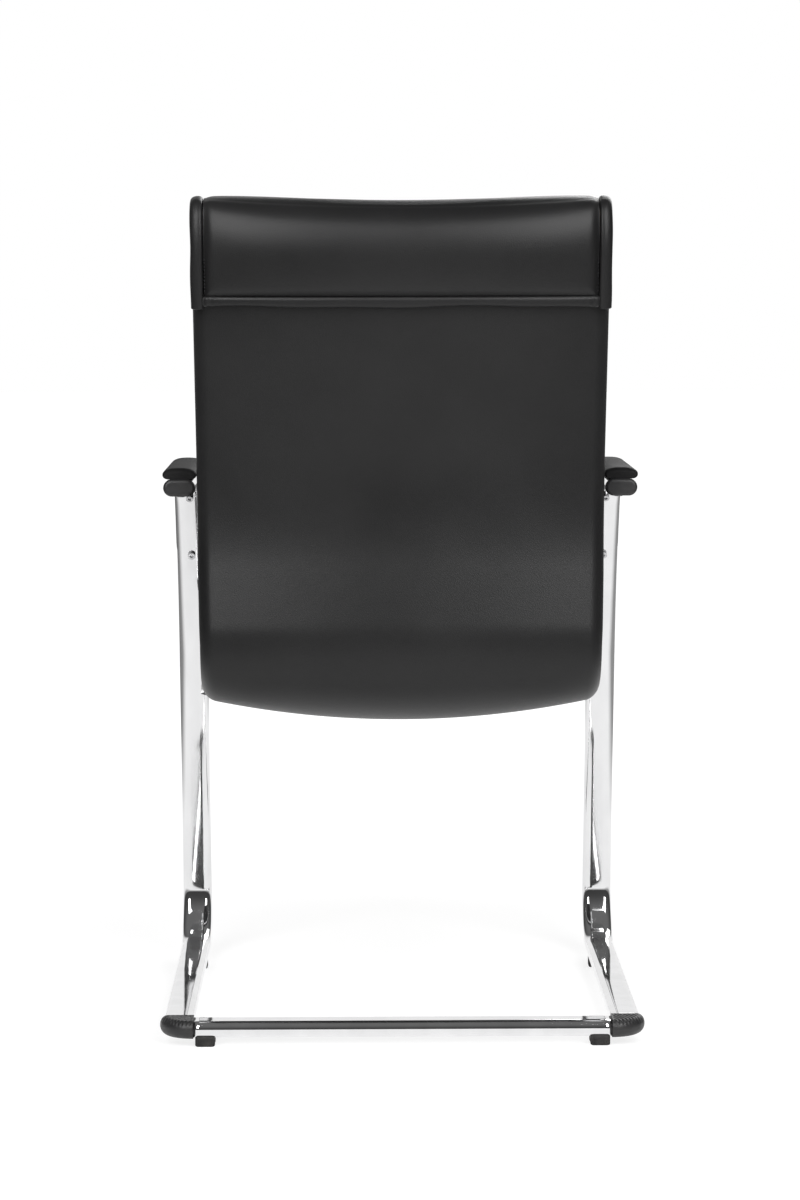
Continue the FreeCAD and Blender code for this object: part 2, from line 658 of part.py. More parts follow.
Run = namedtuple("Run", "y z heading length radius turn")


def dish(x):
    return dim("dishDepth") * (x / place("shellHalfWidth")) ** 2


def dishSlope(x):
    return 2 * dim("dishDepth") * x / place("shellHalfWidth") ** 2


def unit(heading):
    return math.cos(math.radians(heading)), math.sin(math.radians(heading))


def inwardOf(heading):
    ahead, up = unit(heading)
    return -up, ahead


# Height of the skin over the cross tube: the rails' lower inner edges just clear the tube.
def skinOverCrossTube():
    roll = math.atan(dishSlope(dim("railX")))
    railDrop = (clearance + dim("railThickness")) / math.cos(roll)
    edgeDrop = dim("railWidth") / 2 * math.sin(roll)
    tubeTop = dim("crossTubeZ") + dim("tubeWidth") / 2
    return tubeTop + clearance + railDrop + edgeDrop - dish(dim("railX"))


def shellTrack():
    pitch = dim("seatPitch")
    upright = 90 + dim("backTuck")
    recline = 90 - dim("backRecline")
    fall = math.tan(math.radians(pitch))
    y = place("seatFront")
    z = skinOverCrossTube() + (place("crossY") - y) * fall
    plan = [
        (dim("seatRun"), 0, 0),
        (0, dim("seatBendRadius"), upright + pitch),
        (dim("tuckRun"), 0, 0),
        (0, dim("lumbarRadius"), recline - upright),
        (dim("backRun"), 0, 0),
    ]
    runs = []
    heading = -pitch
    for length, radius, turn in plan:
        runs.append(Run(y, z, heading, length, radius, turn))
        y, z = runPoint(runs[-1], 1, 0)
        heading += turn
    return runs


# Where a run is after this share of it, moved inwards.
def runPoint(run, share, inward):
    inY, inZ = inwardOf(run.heading)
    if not run.turn:
        ahead, up = unit(run.heading)
        gone = share * run.length
        return run.y + gone * ahead + inward * inY, run.z + gone * up + inward * inZ
    signed = math.copysign(run.radius, run.turn)
    centreY = run.y + signed * inY
    centreZ = run.z + signed * inZ
    nowY, nowZ = inwardOf(run.heading + share * run.turn)
    reach = inward - signed
    return centreY + reach * nowY, centreZ + reach * nowZ


track = shellTrack()
seatRunNumber = 0
bendNumber = 1
backNumber = 4
creaseShare = dim("creaseGap") / track[bendNumber].turn / 2
plyInside = dim("rearCover") + clearance
padInside = plyInside + dim("plywood") + clearance
foamHalfWidth = place("shellHalfWidth") - dim("leather") - clearance


def trackPoint(x, number, share, inward):
    y, z = runPoint(track[number], share, inward + dish(x))
    return Vector(x, y, z)


# Edges of the track at one station and depth, from (run, share) to (run, share).
def trackEdges(x, inward, start, stop):
    edges = []
    for number in range(start[0], stop[0] + 1):
        first = start[1] if number == start[0] else 0
        last = stop[1] if number == stop[0] else 1
        points = [trackPoint(x, number, share, inward) for share in (first, (first + last) / 2, last)]
        if track[number].turn:
            edges.append(Part.Arc(*points).toShape())
        else:
            edges.append(Part.makeLine(points[0], points[2]))
    return edges


STATIONS = [-1, -0.8, -0.55, -0.28, 0, 0.28, 0.55, 0.8, 1]


# A layer of the shell between two depths, each a function of x. A nose rounds its front end.
def layer(halfWidth, inner, outer, start, stop, nose=0):
    wires = []
    for share in STATIONS:
        x = share * halfWidth
        low = trackEdges(x, inner(x), start, stop)
        high = trackEdges(x, outer(x), start, stop)
        lowFront, highFront = trackPoint(x, *start, inner(x)), trackPoint(x, *start, outer(x))
        lowEnd, highEnd = trackPoint(x, *stop, inner(x)), trackPoint(x, *stop, outer(x))
        front = Part.makeLine(highFront, lowFront)
        if nose:
            ahead, up = unit(track[start[0]].heading)
            tip = (lowFront + highFront) * 0.5 - Vector(0, ahead, up) * nose
            front = Part.Arc(highFront, tip, lowFront).toShape()
        wires.append(Part.Wire(low + [Part.makeLine(lowEnd, highEnd)] + high[::-1] + [front]))
    return Part.makeLoft(wires, True, False)


def feature(name, shape):
    item = doc.addObject("Part::Feature", name)
    item.Shape = shape
    return item


def flatDepth(depth):
    return lambda x: depth


# Depth of a crowned pad's face: full in the middle, thinner towards the sides.
def crown(middle, edge, extra=0):
    half = place("shellHalfWidth")
    return lambda x: padInside + edge + (middle - edge) * (1 - (x / half) ** 4) + extra


def railFrame(side):
    seat = track[seatRunNumber]
    ahead, up = unit(seat.heading)
    inY, inZ = inwardOf(seat.heading)
    share = dim("seatOverhang") / ahead / dim("seatRun")
    along = Vector(0, ahead, up)
    normal = Vector(-side * dishSlope(dim("railX")), inY, inZ)
    normal.normalize()
    return frameAt(trackPoint(side * dim("railX"), seatRunNumber, share, 0), along, normal)


def moved(frame, x, y, z):
    return frame.multiply(FreeCAD.Placement(Vector(x, y, z), FreeCAD.Rotation()))


def boltFrames():
    ends = [dim("boltInset") - dim("railFront"), dim("railRear") - dim("boltInset")]
    return [moved(railFrame(side), 0, y, 0) for side in (1, -1) for y in ends]


def holeGroup(name, radius, height, base):
    return compound(name, [cylinder(name + "Hole", radius, height, base, frame) for frame in boltFrames()])


def makeRail(name, side):
    bar = doc.addObject("Part::Box", name + "Bar")
    bind(bar, Length="dims.railWidth", Width="dims.railFront + dims.railRear", Height="dims.railThickness")
    under = -clearance - dim("railThickness")
    bar.Placement = moved(railFrame(side), -dim("railWidth") / 2, -dim("railFront"), under)
    holes = holeGroup(name + "Holes", BOLT_HOLE, "4 * dims.railThickness", "-2 * dims.railThickness")
    return subPart(cut(name + "Drilled", bar, holes), name)


PLY_TOP = "(dims.rearCover + dims.clearance + dims.plywood)"
RAIL_UNDER = "-(2 * dims.clearance + dims.railThickness)"
WASHER_UNDER = "(-(3 * dims.clearance + dims.railThickness + dims.washerThickness))"


def makeWashers():
    discs = []
    for number, frame in enumerate(boltFrames()):
        base = RAIL_UNDER + " - dims.washerThickness"
        below = base + " - dims.washerThickness"
        disc = cylinder("washerDisc", "dims.washerRadius", "dims.washerThickness", base, frame)
        hole = cylinder("washerHole", BOLT_HOLE, "3 * dims.washerThickness", below, frame)
        discs.append(cut("washer%d" % number, disc, hole))
    return subPart(compound("washerGroup", discs), "bolt_washers")


def makeSeatBolts():
    shank = "%s - dims.nutFlange - %s" % (PLY_TOP, WASHER_UNDER)
    head = ("dims.boltHeadRadius", "dims.boltHeadHeight")
    bolts = [
        makeScrew("seatBolt%d" % number, frame, "dims.boltRadius", shank, WASHER_UNDER, *head)
        for number, frame in enumerate(boltFrames())
    ]
    return subPart(compound("seatBoltGroup", bolts), "seat_bolts")


# A tee nut lies flush in the top of the plywood, its barrel pointing down.
def makeTeeNuts():
    flangeUnder = PLY_TOP + " - dims.nutFlange"
    barrelUnder = flangeUnder + " - dims.nutBarrel"
    bolt = "dims.boltRadius + dims.clearance / 2"
    nuts = []
    for number, frame in enumerate(boltFrames()):
        flange = cylinder("nutFlange", "dims.nutFlangeRadius", "dims.nutFlange", flangeUnder, frame)
        barrel = cylinder("nutBarrel", "dims.nutBarrelRadius", "dims.nutBarrel", barrelUnder, frame)
        whole = fuse("nutWhole", [flange, barrel])
        bore = cylinder("nutBore", bolt, "3 * dims.nutBarrel", PLY_TOP + " - 2 * dims.nutBarrel", frame)
        nuts.append(cut("teeNut%d" % number, whole, bore))
    return subPart(compound("teeNutGroup", nuts), "tee_nuts")


# The seat cross tube stands on edge between the uprights, its ends hollowed to their round sides.
def makeSeatCrossTube():
    body = doc.addObject("PartDesign::Body", "crossTube")
    section = newSketch(body, "crossSection", "YZ_Plane", x="places.crossY", y="dims.crossTubeZ")
    section.setExpression("AttachmentOffset.Rotation.Angle", "90")
    addOval(section, "dims.tubeWidth", "dims.tubeHeight")
    addOval(section, "places.innerWidth", "places.innerHeight")
    addPad(body, section, "2 * places.barEndX + dims.tubeHeight", symmetric=True)
    upright = doc.addObject("PartDesign::Body", "crossTubeEnd")
    outline = newSketch(upright, "crossTubeEndSection", "XY_Plane")
    addOval(outline, "dims.tubeWidth + 2 * dims.clearance", "dims.tubeHeight + 2 * dims.clearance")
    addPad(upright, outline, "4 * dims.tubeWidth", symmetric=True)
    lean = FreeCAD.Rotation(Vector(1, 0, 0), -dim("uprightLean"))
    ends = []
    for side in (1, -1):
        end = doc.addObject("Part::Compound", "crossTubeEnd%d" % len(ends))
        end.Links = [upright]
        crossing = Vector(side * place("sideX"), place("crossY"), dim("crossTubeZ"))
        end.Placement = FreeCAD.Placement(crossing, lean)
        ends.append(end)
    return subPart(cut("crossTubeCoped", body, compound("crossTubeEnds", ends)), "seat_cross_tube")


def makePlywood():
    start = (seatRunNumber, dim("leather") / dim("seatRun"))
    stop = (backNumber, 1 - dim("leather") / dim("backRun"))
    faces = [flatDepth(plyInside), flatDepth(plyInside + dim("plywood"))]
    plain = feature("plyBent", layer(foamHalfWidth, *faces, start, stop))
    barrel = "dims.nutBarrelRadius + dims.clearance"
    flange = "dims.nutFlangeRadius + dims.clearance"
    bores = holeGroup("plyBores", barrel, "3 * dims.plywood", PLY_TOP + " - 2 * dims.plywood")
    recessFloor = PLY_TOP + " - dims.nutFlange - dims.clearance / 2"
    recesses = holeGroup("plyRecesses", flange, "2 * dims.plywood", recessFloor)
    return subPart(cut("plyDrilled", plain, fuse("plyHoles", [bores, recesses])), "plywood_shell")


def makeRearCover():
    faces = [flatDepth(0), flatDepth(dim("rearCover"))]
    whole = layer(place("shellHalfWidth"), *faces, (seatRunNumber, 0), (backNumber, 1))
    plain = feature("rearCoverPlain", whole)
    holes = holeGroup("rearCoverHoles", BOLT_HOLE, "4 * dims.rearCover", "-2 * dims.rearCover")
    return subPart(cut("rearCoverDrilled", plain, holes), "rear_cover")


skin = dim("leather") + clearance
seatStop = (bendNumber, 0.5 - creaseShare)
backStart = (bendNumber, 0.5 + creaseShare)


def makeSeatFoam():
    depth = crown(dim("seatPad"), dim("seatPadEdge"))
    foam = layer(foamHalfWidth, flatDepth(padInside), depth, (seatRunNumber, 0), seatStop, dim("seatNose"))
    return subPart(feature("seatFoamSolid", foam), "seat_foam")


# A cover is its outer form less the foam's, grown by the clearance and run out past its open end
# by this share of the bend.
RUN_OUT = 0.05


def makeSeatCover():
    thick = crown(dim("seatPad"), dim("seatPadEdge"), skin)
    thin = crown(dim("seatPad"), dim("seatPadEdge"), clearance)
    nose = dim("seatNose")
    start = (seatRunNumber, 0)
    past = (bendNumber, 0.5 + RUN_OUT)
    form = layer(place("shellHalfWidth"), flatDepth(padInside), thick, start, seatStop, nose + skin)
    below = flatDepth(padInside - clearance)
    space = layer(foamHalfWidth + clearance, below, thin, start, past, nose + clearance)
    return subPart(feature("seatCoverShell", form.cut(space)), "seat_cover")


def makeBackFoam():
    depth = crown(dim("backPad"), dim("backPadEdge"))
    stop = (backNumber, 1 - skin / dim("backRun"))
    foam = layer(foamHalfWidth, flatDepth(padInside), depth, backStart, stop)
    return subPart(feature("backFoamSolid", foam), "back_foam")


def makeBackCover():
    thick = crown(dim("backPad"), dim("backPadEdge"), skin)
    thin = crown(dim("backPad"), dim("backPadEdge"), clearance)
    stop = (backNumber, 1 - dim("leather") / dim("backRun"))
    past = (bendNumber, 0.5 - RUN_OUT)
    form = layer(place("shellHalfWidth"), flatDepth(padInside), thick, backStart, (backNumber, 1))
    below = flatDepth(padInside - clearance)
    space = layer(foamHalfWidth + clearance, below, thin, past, stop)
    return subPart(feature("backCoverShell", form.cut(space)), "back_cover")


# Headrest hood: an arch over the top of the back, with its front leg thicker than its rear leg.

backFace = crown(dim("backPad"), dim("backPadEdge"), skin)


# Point beside the top of the back: down along it from the top, and inwards from the skin.
def hoodPoint(x, down, inward):
    return trackPoint(x, backNumber, 1 - down / dim("backRun"), inward)


# How far the hood's panels swell out halfway up: most in the middle, drawn in at the sides.
def swellAt(x):
    edge = dim("hoodSwellEdge")
    return edge + (dim("hoodSwell") - edge) * (1 - (x / place("shellHalfWidth")) ** 4)


# How far an arch lies from the back: behind it, in front of it and over it, and whether it swells.
Arch = namedtuple("Arch", "rear front rise swells")


# One line of an arch: its rear side, crest and front side.
def archEdges(x, drop, fit):
    face = backFace(x) + fit.front
    low = [hoodPoint(x, drop, -fit.rear), hoodPoint(x, drop, face)]
    high = [hoodPoint(x, 0, -fit.rear), hoodPoint(x, 0, face)]
    crest = hoodPoint(x, -fit.rise, (face - fit.rear) / 2)
    top = Part.Arc(high[0], crest, high[1]).toShape()
    if not fit.swells:
        return [Part.makeLine(low[0], high[0]), top, Part.makeLine(high[1], low[1])], low
    rear = hoodPoint(x, drop / 2, -fit.rear - swellAt(x))
    front = hoodPoint(x, drop / 2, face + swellAt(x))
    behind = Part.Arc(low[0], rear, high[0]).toShape()
    before = Part.Arc(high[1], front, low[1]).toShape()
    return [behind, top, before], low


def archWire(x, drop, inner, outer):
    inside, insideEnds = archEdges(x, drop, inner)
    outside, outsideEnds = archEdges(x, drop, outer)
    return Part.Wire(outside + [Part.makeLine(outsideEnds[1], insideEnds[1])] + inside[::-1]
                     + [Part.makeLine(insideEnds[0], outsideEnds[0])])


def grown(fit, amount):
    return Arch(fit.rear + amount, fit.front + amount, fit.rise + amount, fit.swells)


backFit = Arch(clearance, clearance, 2 * clearance, False)
foamFit = grown(Arch(dim("hoodRear"), dim("hoodFront"), dim("hoodRise"), True), clearance)


def arch(inner, outer):
    half = place("shellHalfWidth")
    wires = [archWire(share * half, dim("hoodDrop"), inner, outer) for share in STATIONS]
    return Part.makeLoft(wires, True, False)


def makeHoodFoam():
    return subPart(feature("hoodFoamSolid", arch(backFit, foamFit)), "headrest_foam")


def makeHoodCover():
    cover = arch(grown(foamFit, clearance), grown(foamFit, skin))
    return subPart(feature("hoodCoverShell", cover), "headrest_cover")


# One leg of the hem under the hood, flat against the back and rolled outside.
def hemLeg(inward, outward):
    wires = []
    top = dim("hoodDrop") + clearance
    low = top + dim("hemHeight")
    for share in STATIONS:
        x = share * place("shellHalfWidth")
        near = [hoodPoint(x, top, inward(x)), hoodPoint(x, low, inward(x))]
        far = [hoodPoint(x, top, outward(x)), hoodPoint(x, low, outward(x))]
        rolled = math.copysign(dim("hemRoll"), outward(x) - inward(x))
        roll = hoodPoint(x, (top + low) / 2, outward(x) + rolled)
        wires.append(Part.Wire([
            Part.makeLine(near[0], near[1]),
            Part.makeLine(near[1], far[1]),
            Part.Arc(far[1], roll, far[0]).toShape(),
            Part.makeLine(far[0], near[0]),
        ]))
    return Part.makeLoft(wires, True, False)


def makeHem():
    rearOut = foamFit.rear + skin
    frontOut = foamFit.front + skin
    rearLeg = hemLeg(flatDepth(-clearance), flatDepth(-rearOut))
    frontLeg = hemLeg(lambda x: backFace(x) + clearance, lambda x: backFace(x) + frontOut)
    return subPart(feature("hemLegs", Part.makeCompound([rearLeg, frontLeg])), "headrest_hem")


# A side strip closes the hood's end, down to the hem's lower edge.
def makeGusset(name, side):
    x = side * place("shellHalfWidth")
    drop = dim("hoodDrop") + clearance + dim("hemHeight")
    edges, ends = archEdges(x, drop, grown(foamFit, skin))
    face = Part.Face(Part.Wire(edges + [Part.makeLine(ends[1], ends[0])]))
    strip = face.extrude(Vector(side * dim("gusset"), 0, 0))
    strip.translate(Vector(side * clearance, 0, 0))
    return subPart(feature(name + "Strip", strip), name)


SIDES = [("left", 1), ("right", -1)]

makeCrossBar()
makeSeatCrossTube()
for sideName, sideSign in SIDES:
    makeSideTube(sideName + "_side_tube", sideSign)
    makeConnector(sideName + "_corner_connector", sideSign)
    for endName, glideFrame in glideFrames(sideSign).items():
        makeGlide("%s_%s_glide" % (sideName, endName), glideFrame)
    makeEndCap(sideName + "_arm_end_cap", sideSign)
    makePadCore(sideName + "_arm_pad_core", sideSign)
    makeArmPad(sideName + "_arm_pad", sideSign)
    makeArmScrews(sideName + "_arm_screws", sideSign)
    makeRail(sideName + "_seat_rail", sideSign)
    makeGusset(sideName + "_headrest_gusset", sideSign)
makeWashers()
makeSeatBolts()
makeTeeNuts()
makePlywood()
makeRearCover()
makeSeatFoam()
makeSeatCover()
makeBackFoam()
makeBackCover()
makeHoodFoam()
makeHoodCover()
makeHem()
doc.recompute()

# The origin is on the floor, in the middle of the chair's depth.
box = FreeCAD.BoundBox()
for item in subParts:
    box.add(item.Shape.optimalBoundingBox(False, False))
dims.set("originY", str(-(box.YMin + box.YMax) / 2))
for item in subParts:
    item.setExpression("Placement.Base.y", "dims.originY")
doc.recompute()

failed = [item.Label for item in doc.Objects if "Invalid" in item.State or "Error" in item.State]
broken = [item.Label for item in subParts if not sound(item.Shape)]
if failed or broken:
    raise SystemExit("failed: %s, broken: %s" % (failed, broken))

os.makedirs("parts", exist_ok=True)
for item in subParts:
    item.Shape.exportStep("parts/%s.step" % item.Label)
    print(item.Label, len(item.Shape.Solids), round(item.Shape.Volume))
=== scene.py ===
import bmesh
import bpy
import numpy as np
from mathutils import Matrix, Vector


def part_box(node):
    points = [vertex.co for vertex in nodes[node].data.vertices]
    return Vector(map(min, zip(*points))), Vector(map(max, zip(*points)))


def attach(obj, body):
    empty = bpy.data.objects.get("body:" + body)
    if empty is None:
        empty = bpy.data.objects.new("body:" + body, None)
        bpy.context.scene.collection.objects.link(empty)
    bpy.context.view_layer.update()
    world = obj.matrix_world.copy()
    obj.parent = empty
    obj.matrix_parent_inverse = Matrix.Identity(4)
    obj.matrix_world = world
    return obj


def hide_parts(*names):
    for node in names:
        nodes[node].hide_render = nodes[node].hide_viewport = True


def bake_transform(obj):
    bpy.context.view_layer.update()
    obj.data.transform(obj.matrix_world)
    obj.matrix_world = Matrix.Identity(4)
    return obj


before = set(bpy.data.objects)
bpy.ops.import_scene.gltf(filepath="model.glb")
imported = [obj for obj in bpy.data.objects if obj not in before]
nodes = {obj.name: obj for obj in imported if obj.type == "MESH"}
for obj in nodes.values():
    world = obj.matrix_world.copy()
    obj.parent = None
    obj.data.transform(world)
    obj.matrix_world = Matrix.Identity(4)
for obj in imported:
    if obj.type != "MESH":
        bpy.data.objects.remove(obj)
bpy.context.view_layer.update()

scene = bpy.context.scene
scene.view_settings.view_transform = "Standard"
sides = {"left": 1, "right": -1}
print("frame loaded,", len(nodes), "nodes")


# Camera and tracks

camera = {"place": (0.05309, 4.48250, 0.92837), "yaw": -0.691, "pitch": 5.463, "roll": -0.089, "lens": 108.43,
          "sensor": 36}


def unit(v):
    return v / np.linalg.norm(v, axis=-1, keepdims=True)


# Matrix with the three axes as its columns and the place as its last.
def matrixOf(axes, place):
    turned = np.eye(4)
    turned[:3, :3] = np.stack(axes, 1)
    turned[:3, 3] = place
    return Matrix(turned.tolist())


# Looks along (sin yaw cos pitch, -cos yaw cos pitch, -sin pitch), then turns by roll about that line.
def makeCamera():
    yaw, pitch, roll = np.radians([camera["yaw"], camera["pitch"], camera["roll"]])
    ahead = np.array([np.sin(yaw) * np.cos(pitch), -np.cos(yaw) * np.cos(pitch), -np.sin(pitch)])
    right = unit(np.cross(ahead, [0, 0, 1]))
    up = np.cross(right, ahead)
    across = np.cos(roll) * right + np.sin(roll) * up
    upwards = np.cos(roll) * up - np.sin(roll) * right
    data = bpy.data.cameras.new("camera")
    data.lens = camera["lens"]
    data.sensor_width = camera["sensor"]
    seen = bpy.data.objects.new("camera", data)
    seen.matrix_world = matrixOf([across, upwards, -ahead], camera["place"])
    scene.collection.objects.link(seen)
    scene.camera = seen


makeCamera()

# Side views of the bent tube and of the shell's outer skin: straight runs (length, 0) and arcs (radius, turn).
tubeTrack = {"start": (0.26031, 0.020), "heading": 180,
             "runs": [(0.472, 0), (0.070, -100), (0.312, 0), (0.560, -23), (0.070, -57), (0.225, 0)]}
shellTrack = {"start": (-0.28640, 0.39441), "heading": -4,
              "runs": [(0.400, 0), (0.110, 103), (0.070, 0), (0.320, -24), (0.285, 0)]}


# Place and heading at s along a track. On a straight y += s cos h and z += s sin h; on an arc of radius r,
# h = h0 + w s / r, y += w r (sin h - sin h0) and z -= w r (cos h - cos h0), where w is 1 or -1, the way it turns.
def walk(track, s):
    s = np.asarray(s, float)
    y, z = (np.full(s.shape, v) for v in track["start"])
    start = np.radians(track["heading"])
    h = np.full(s.shape, start)
    begin = 0.0
    for number, (size, turn) in enumerate(track["runs"]):
        length = size * abs(np.radians(turn)) if turn else size
        local = s - begin
        local = local if number == 0 else np.maximum(local, 0)
        local = local if number == len(track["runs"]) - 1 else np.minimum(local, length)
        if turn:
            way = np.sign(turn)
            now = start + way * local / size
            y = y + way * size * (np.sin(now) - np.sin(start))
            z = z - way * size * (np.cos(now) - np.cos(start))
            h = h + now - start
            start = start + np.radians(turn)
        else:
            y = y + local * np.cos(start)
            z = z + local * np.sin(start)
        begin += length
    return y, z, h


def trackLength(track):
    return sum(size * abs(np.radians(turn)) if turn else size for size, turn in track["runs"])


shell = {"halfWidth": 0.240, "dish": 0.026, "padInside": 0.0226}
tubeEnd, shellTop = trackLength(tubeTrack), trackLength(shellTrack)


# Point of the shell: s along its mid line, x sideways, depth inwards from the skin. The skin is dished by
# dish (x / w)^2.
def shellPoint(x, s, depth):
    x, s, depth = np.broadcast_arrays(x, s, depth)
    y, z, h = walk(shellTrack, s)
    inward = depth + shell["dish"] * (x / shell["halfWidth"]) ** 2
    return np.stack([x, y - np.sin(h) * inward, z + np.cos(h) * inward], -1)


# Mesh tools

def turnOutwards(mesh):
    work = bmesh.new()
    work.from_mesh(mesh)
    bmesh.ops.recalc_face_normals(work, faces=work.faces)
    work.to_mesh(mesh)
    work.free()


# Skin over points[row, column], or over several such grids at once. Columns close round, end rows get a flat cap.
def newPiece(name, points, wrap=True, caps=True):
    rows, cols = points.shape[-3:-1]
    points = points.reshape(-1, rows, cols, 3)
    offset = (np.arange(len(points)) * rows * cols)[:, None]
    r = np.arange(rows - 1)[:, None]
    c = np.arange(cols if wrap else cols - 1)[None, :]
    d = (c + 1) % cols
    quads = np.stack([r * cols + c, r * cols + d, (r + 1) * cols + d, (r + 1) * cols + c], -1).reshape(1, -1, 4)
    faces = (quads + offset[:, :, None]).reshape(-1, 4).tolist()
    smooth = np.ones(len(faces), bool)
    if caps:
        ends = np.stack([np.arange(cols), np.arange(cols) + (rows - 1) * cols])[None] + offset[:, :, None]
        faces += ends.reshape(-1, cols).tolist()
        smooth = np.concatenate([smooth, np.zeros(2 * len(points), bool)])
    mesh = bpy.data.meshes.new(name)
    mesh.from_pydata(points.reshape(-1, 3).tolist(), [], faces)
    turnOutwards(mesh)
    mesh.polygons.foreach_set("use_smooth", smooth)
    piece = bpy.data.objects.new(name, mesh)
    scene.collection.objects.link(piece)
    return piece


# Gives a piece its finish, the body it rides on and the nodes it stands for. Its slot name is not used.
def dress(piece, material, slotName, body, *replaced):
    piece.data.materials.append(material)
    if body:
        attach(piece, body)
    if replaced:
        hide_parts(*replaced)


def placesOf(mesh):
    flat = np.empty(len(mesh.vertices) * 3, np.float32)
    mesh.vertices.foreach_get("co", flat)
    return flat.reshape(-1, 3)


padding = {"frames": 16, "quality": 4, "mass": 0.35, "stretch": 18, "shear": 6, "bending": 0.6, "passes": 6}


# Pads a cover: held stays put, the rest swells under pressure for some frames. The swelling is evened out over the
# grid, three points at a time, so that the leather stays tight, and is no more than reach.
def inflate(piece, held, pressure, reach):
    before = placesOf(piece.data)
    group = piece.vertex_groups.new(name="seams")
    group.add(np.flatnonzero(held.ravel()).tolist(), 1.0, "REPLACE")
    cloth = piece.modifiers.new("padding", "CLOTH")
    cloth.settings.quality = padding["quality"]
    cloth.settings.mass = padding["mass"]
    cloth.settings.tension_stiffness = padding["stretch"]
    cloth.settings.compression_stiffness = padding["stretch"]
    cloth.settings.shear_stiffness = padding["shear"]
    cloth.settings.bending_stiffness = padding["bending"]
    cloth.settings.use_pressure = True
    cloth.settings.uniform_pressure_force = pressure
    cloth.settings.vertex_group_mass = "seams"
    cloth.settings.effector_weights.gravity = 0
    cloth.point_cache.frame_start = 1
    cloth.point_cache.frame_end = padding["frames"]
    for number in range(1, padding["frames"] + 1):
        scene.frame_set(number)
    moved = piece.evaluated_get(bpy.context.evaluated_depsgraph_get())
    step = (placesOf(moved.data) - before).reshape(held.shape + (3,))
    for _ in range(padding["passes"]):
        step = (np.roll(step, 1, 1) + step + np.roll(step, -1, 1)) / 3
        step[1:-1] = (step[:-2] + step[1:-1] + step[2:]) / 3
        step[held] = 0
    step = step.reshape(-1, 3)
    size = np.linalg.norm(step, axis=1, keepdims=True)
    after = before + step * np.minimum(1, reach / np.maximum(size, 1e-9))
    piece.modifiers.remove(cloth)
    piece.vertex_groups.remove(group)
    scene.frame_set(1)
    piece.data.vertices.foreach_set("co", after.astype(np.float32).ravel())
    piece.data.update()
    print(piece.name, "padded, swollen by", round(float(min(size.max(), reach)) * 1000, 1), "mm at most")


def subdivide(piece):
    rounding = piece.modifiers.new("rounding", "SUBSURF")
    rounding.levels = rounding.render_levels = 1


# Row of stitches on a line: each is a capsule of radius r sin a and half length l cos a along the thread's way,
# and its ends dip inwards.
def stitchRow(line, outward, pitch, length, radius):
    gaps = np.linalg.norm(np.diff(line, axis=0), axis=1)
    along = np.concatenate([[0], np.cumsum(gaps)])
    spots = np.arange(pitch / 2, along[-1], pitch)
    pick = lambda values, at: np.stack([np.interp(at, along, values[:, k]) for k in range(3)], 1)
    centre = pick(line, spots)
    way = unit(pick(line, spots + 0.001) - pick(line, spots - 0.001))
    out = unit(pick(outward, spots))
    side = np.cross(way, out)
    a = np.radians(np.array([8, 35, 65, 90, 115, 145, 172]))[None, :, None, None]
    b = (np.arange(8) * np.pi / 4)[None, None, :, None]
    spread = lambda v: v[:, None, None, :]
    bow = spread(out) * (np.sin(a) - 1) * radius * 0.6
    return (spread(centre) + bow - spread(way) * np.cos(a) * length / 2
            + (spread(out) * np.cos(b) + spread(side) * np.sin(b)) * np.sin(a) * radius)


# Finishes

class Finish:
    def __init__(self, name, **values):
        self.material = bpy.data.materials.new(name)
        self.material.use_nodes = True
        self.tree = self.material.node_tree
        self.shader = self.tree.nodes["Principled BSDF"]
        for socket, value in values.items():
            self.shader.inputs[socket.replace("_", " ")].default_value = value
        self.object = self.node("ShaderNodeTexCoord").outputs["Object"]

    def node(self, kind, **settings):
        made = self.tree.nodes.new(kind)
        for key, value in settings.items():
            if key in made.inputs:
                made.inputs[key].default_value = value
            else:
                setattr(made, key, value)
        return made

    def link(self, a, b):
        self.tree.links.new(a, b)

    def noise(self, scale, detail=2, stretch=None):
        made = self.node("ShaderNodeTexNoise", Scale=scale, Detail=detail)
        if stretch:
            spread = self.node("ShaderNodeMapping", Scale=stretch)
            self.link(self.object, spread.inputs["Vector"])
            self.link(spread.outputs["Vector"], made.inputs["Vector"])
        else:
            self.link(self.object, made.inputs["Vector"])
        return made.outputs["Fac"]

    def cells(self, scale):
        made = self.node("ShaderNodeTexVoronoi", Scale=scale)
        self.link(self.object, made.inputs["Vector"])
        return made.outputs["Distance"]

    def span(self, value, low, high, fromLow=0.3, fromHigh=0.7):
        made = self.node("ShaderNodeMapRange")
        for key, number in zip(("From Min", "From Max", "To Min", "To Max"), (fromLow, fromHigh, low, high)):
            made.inputs[key].default_value = number
        self.link(value, made.inputs["Value"])
        return made.outputs["Result"]

    def sum(self, a, b, share):
        made = self.node("ShaderNodeMath", operation="MULTIPLY_ADD")
        self.link(b, made.inputs[0])
        made.inputs[1].default_value = share
        self.link(a, made.inputs[2])
        return made.outputs["Value"]

    def math(self, operation, a, b):
        made = self.node("ShaderNodeMath", operation=operation)
        self.link(a, made.inputs[0])
        self.link(b, made.inputs[1])
        return made.outputs["Value"]

    def tint(self, value, dark, light):
        made = self.node("ShaderNodeMix", data_type="RGBA")
        made.inputs["A"].default_value = (*dark, 1)
        made.inputs["B"].default_value = (*light, 1)
        self.link(value, made.inputs["Factor"])
        self.link(made.outputs["Result"], self.shader.inputs["Base Color"])

    def rough(self, value):
        self.link(value, self.shader.inputs["Roughness"])

    def bump(self, value, strength, distance):
        made = self.node("ShaderNodeBump", Strength=strength, Distance=distance)
        self.link(value, made.inputs["Height"])
        self.link(made.outputs["Normal"], self.shader.inputs["Normal"])


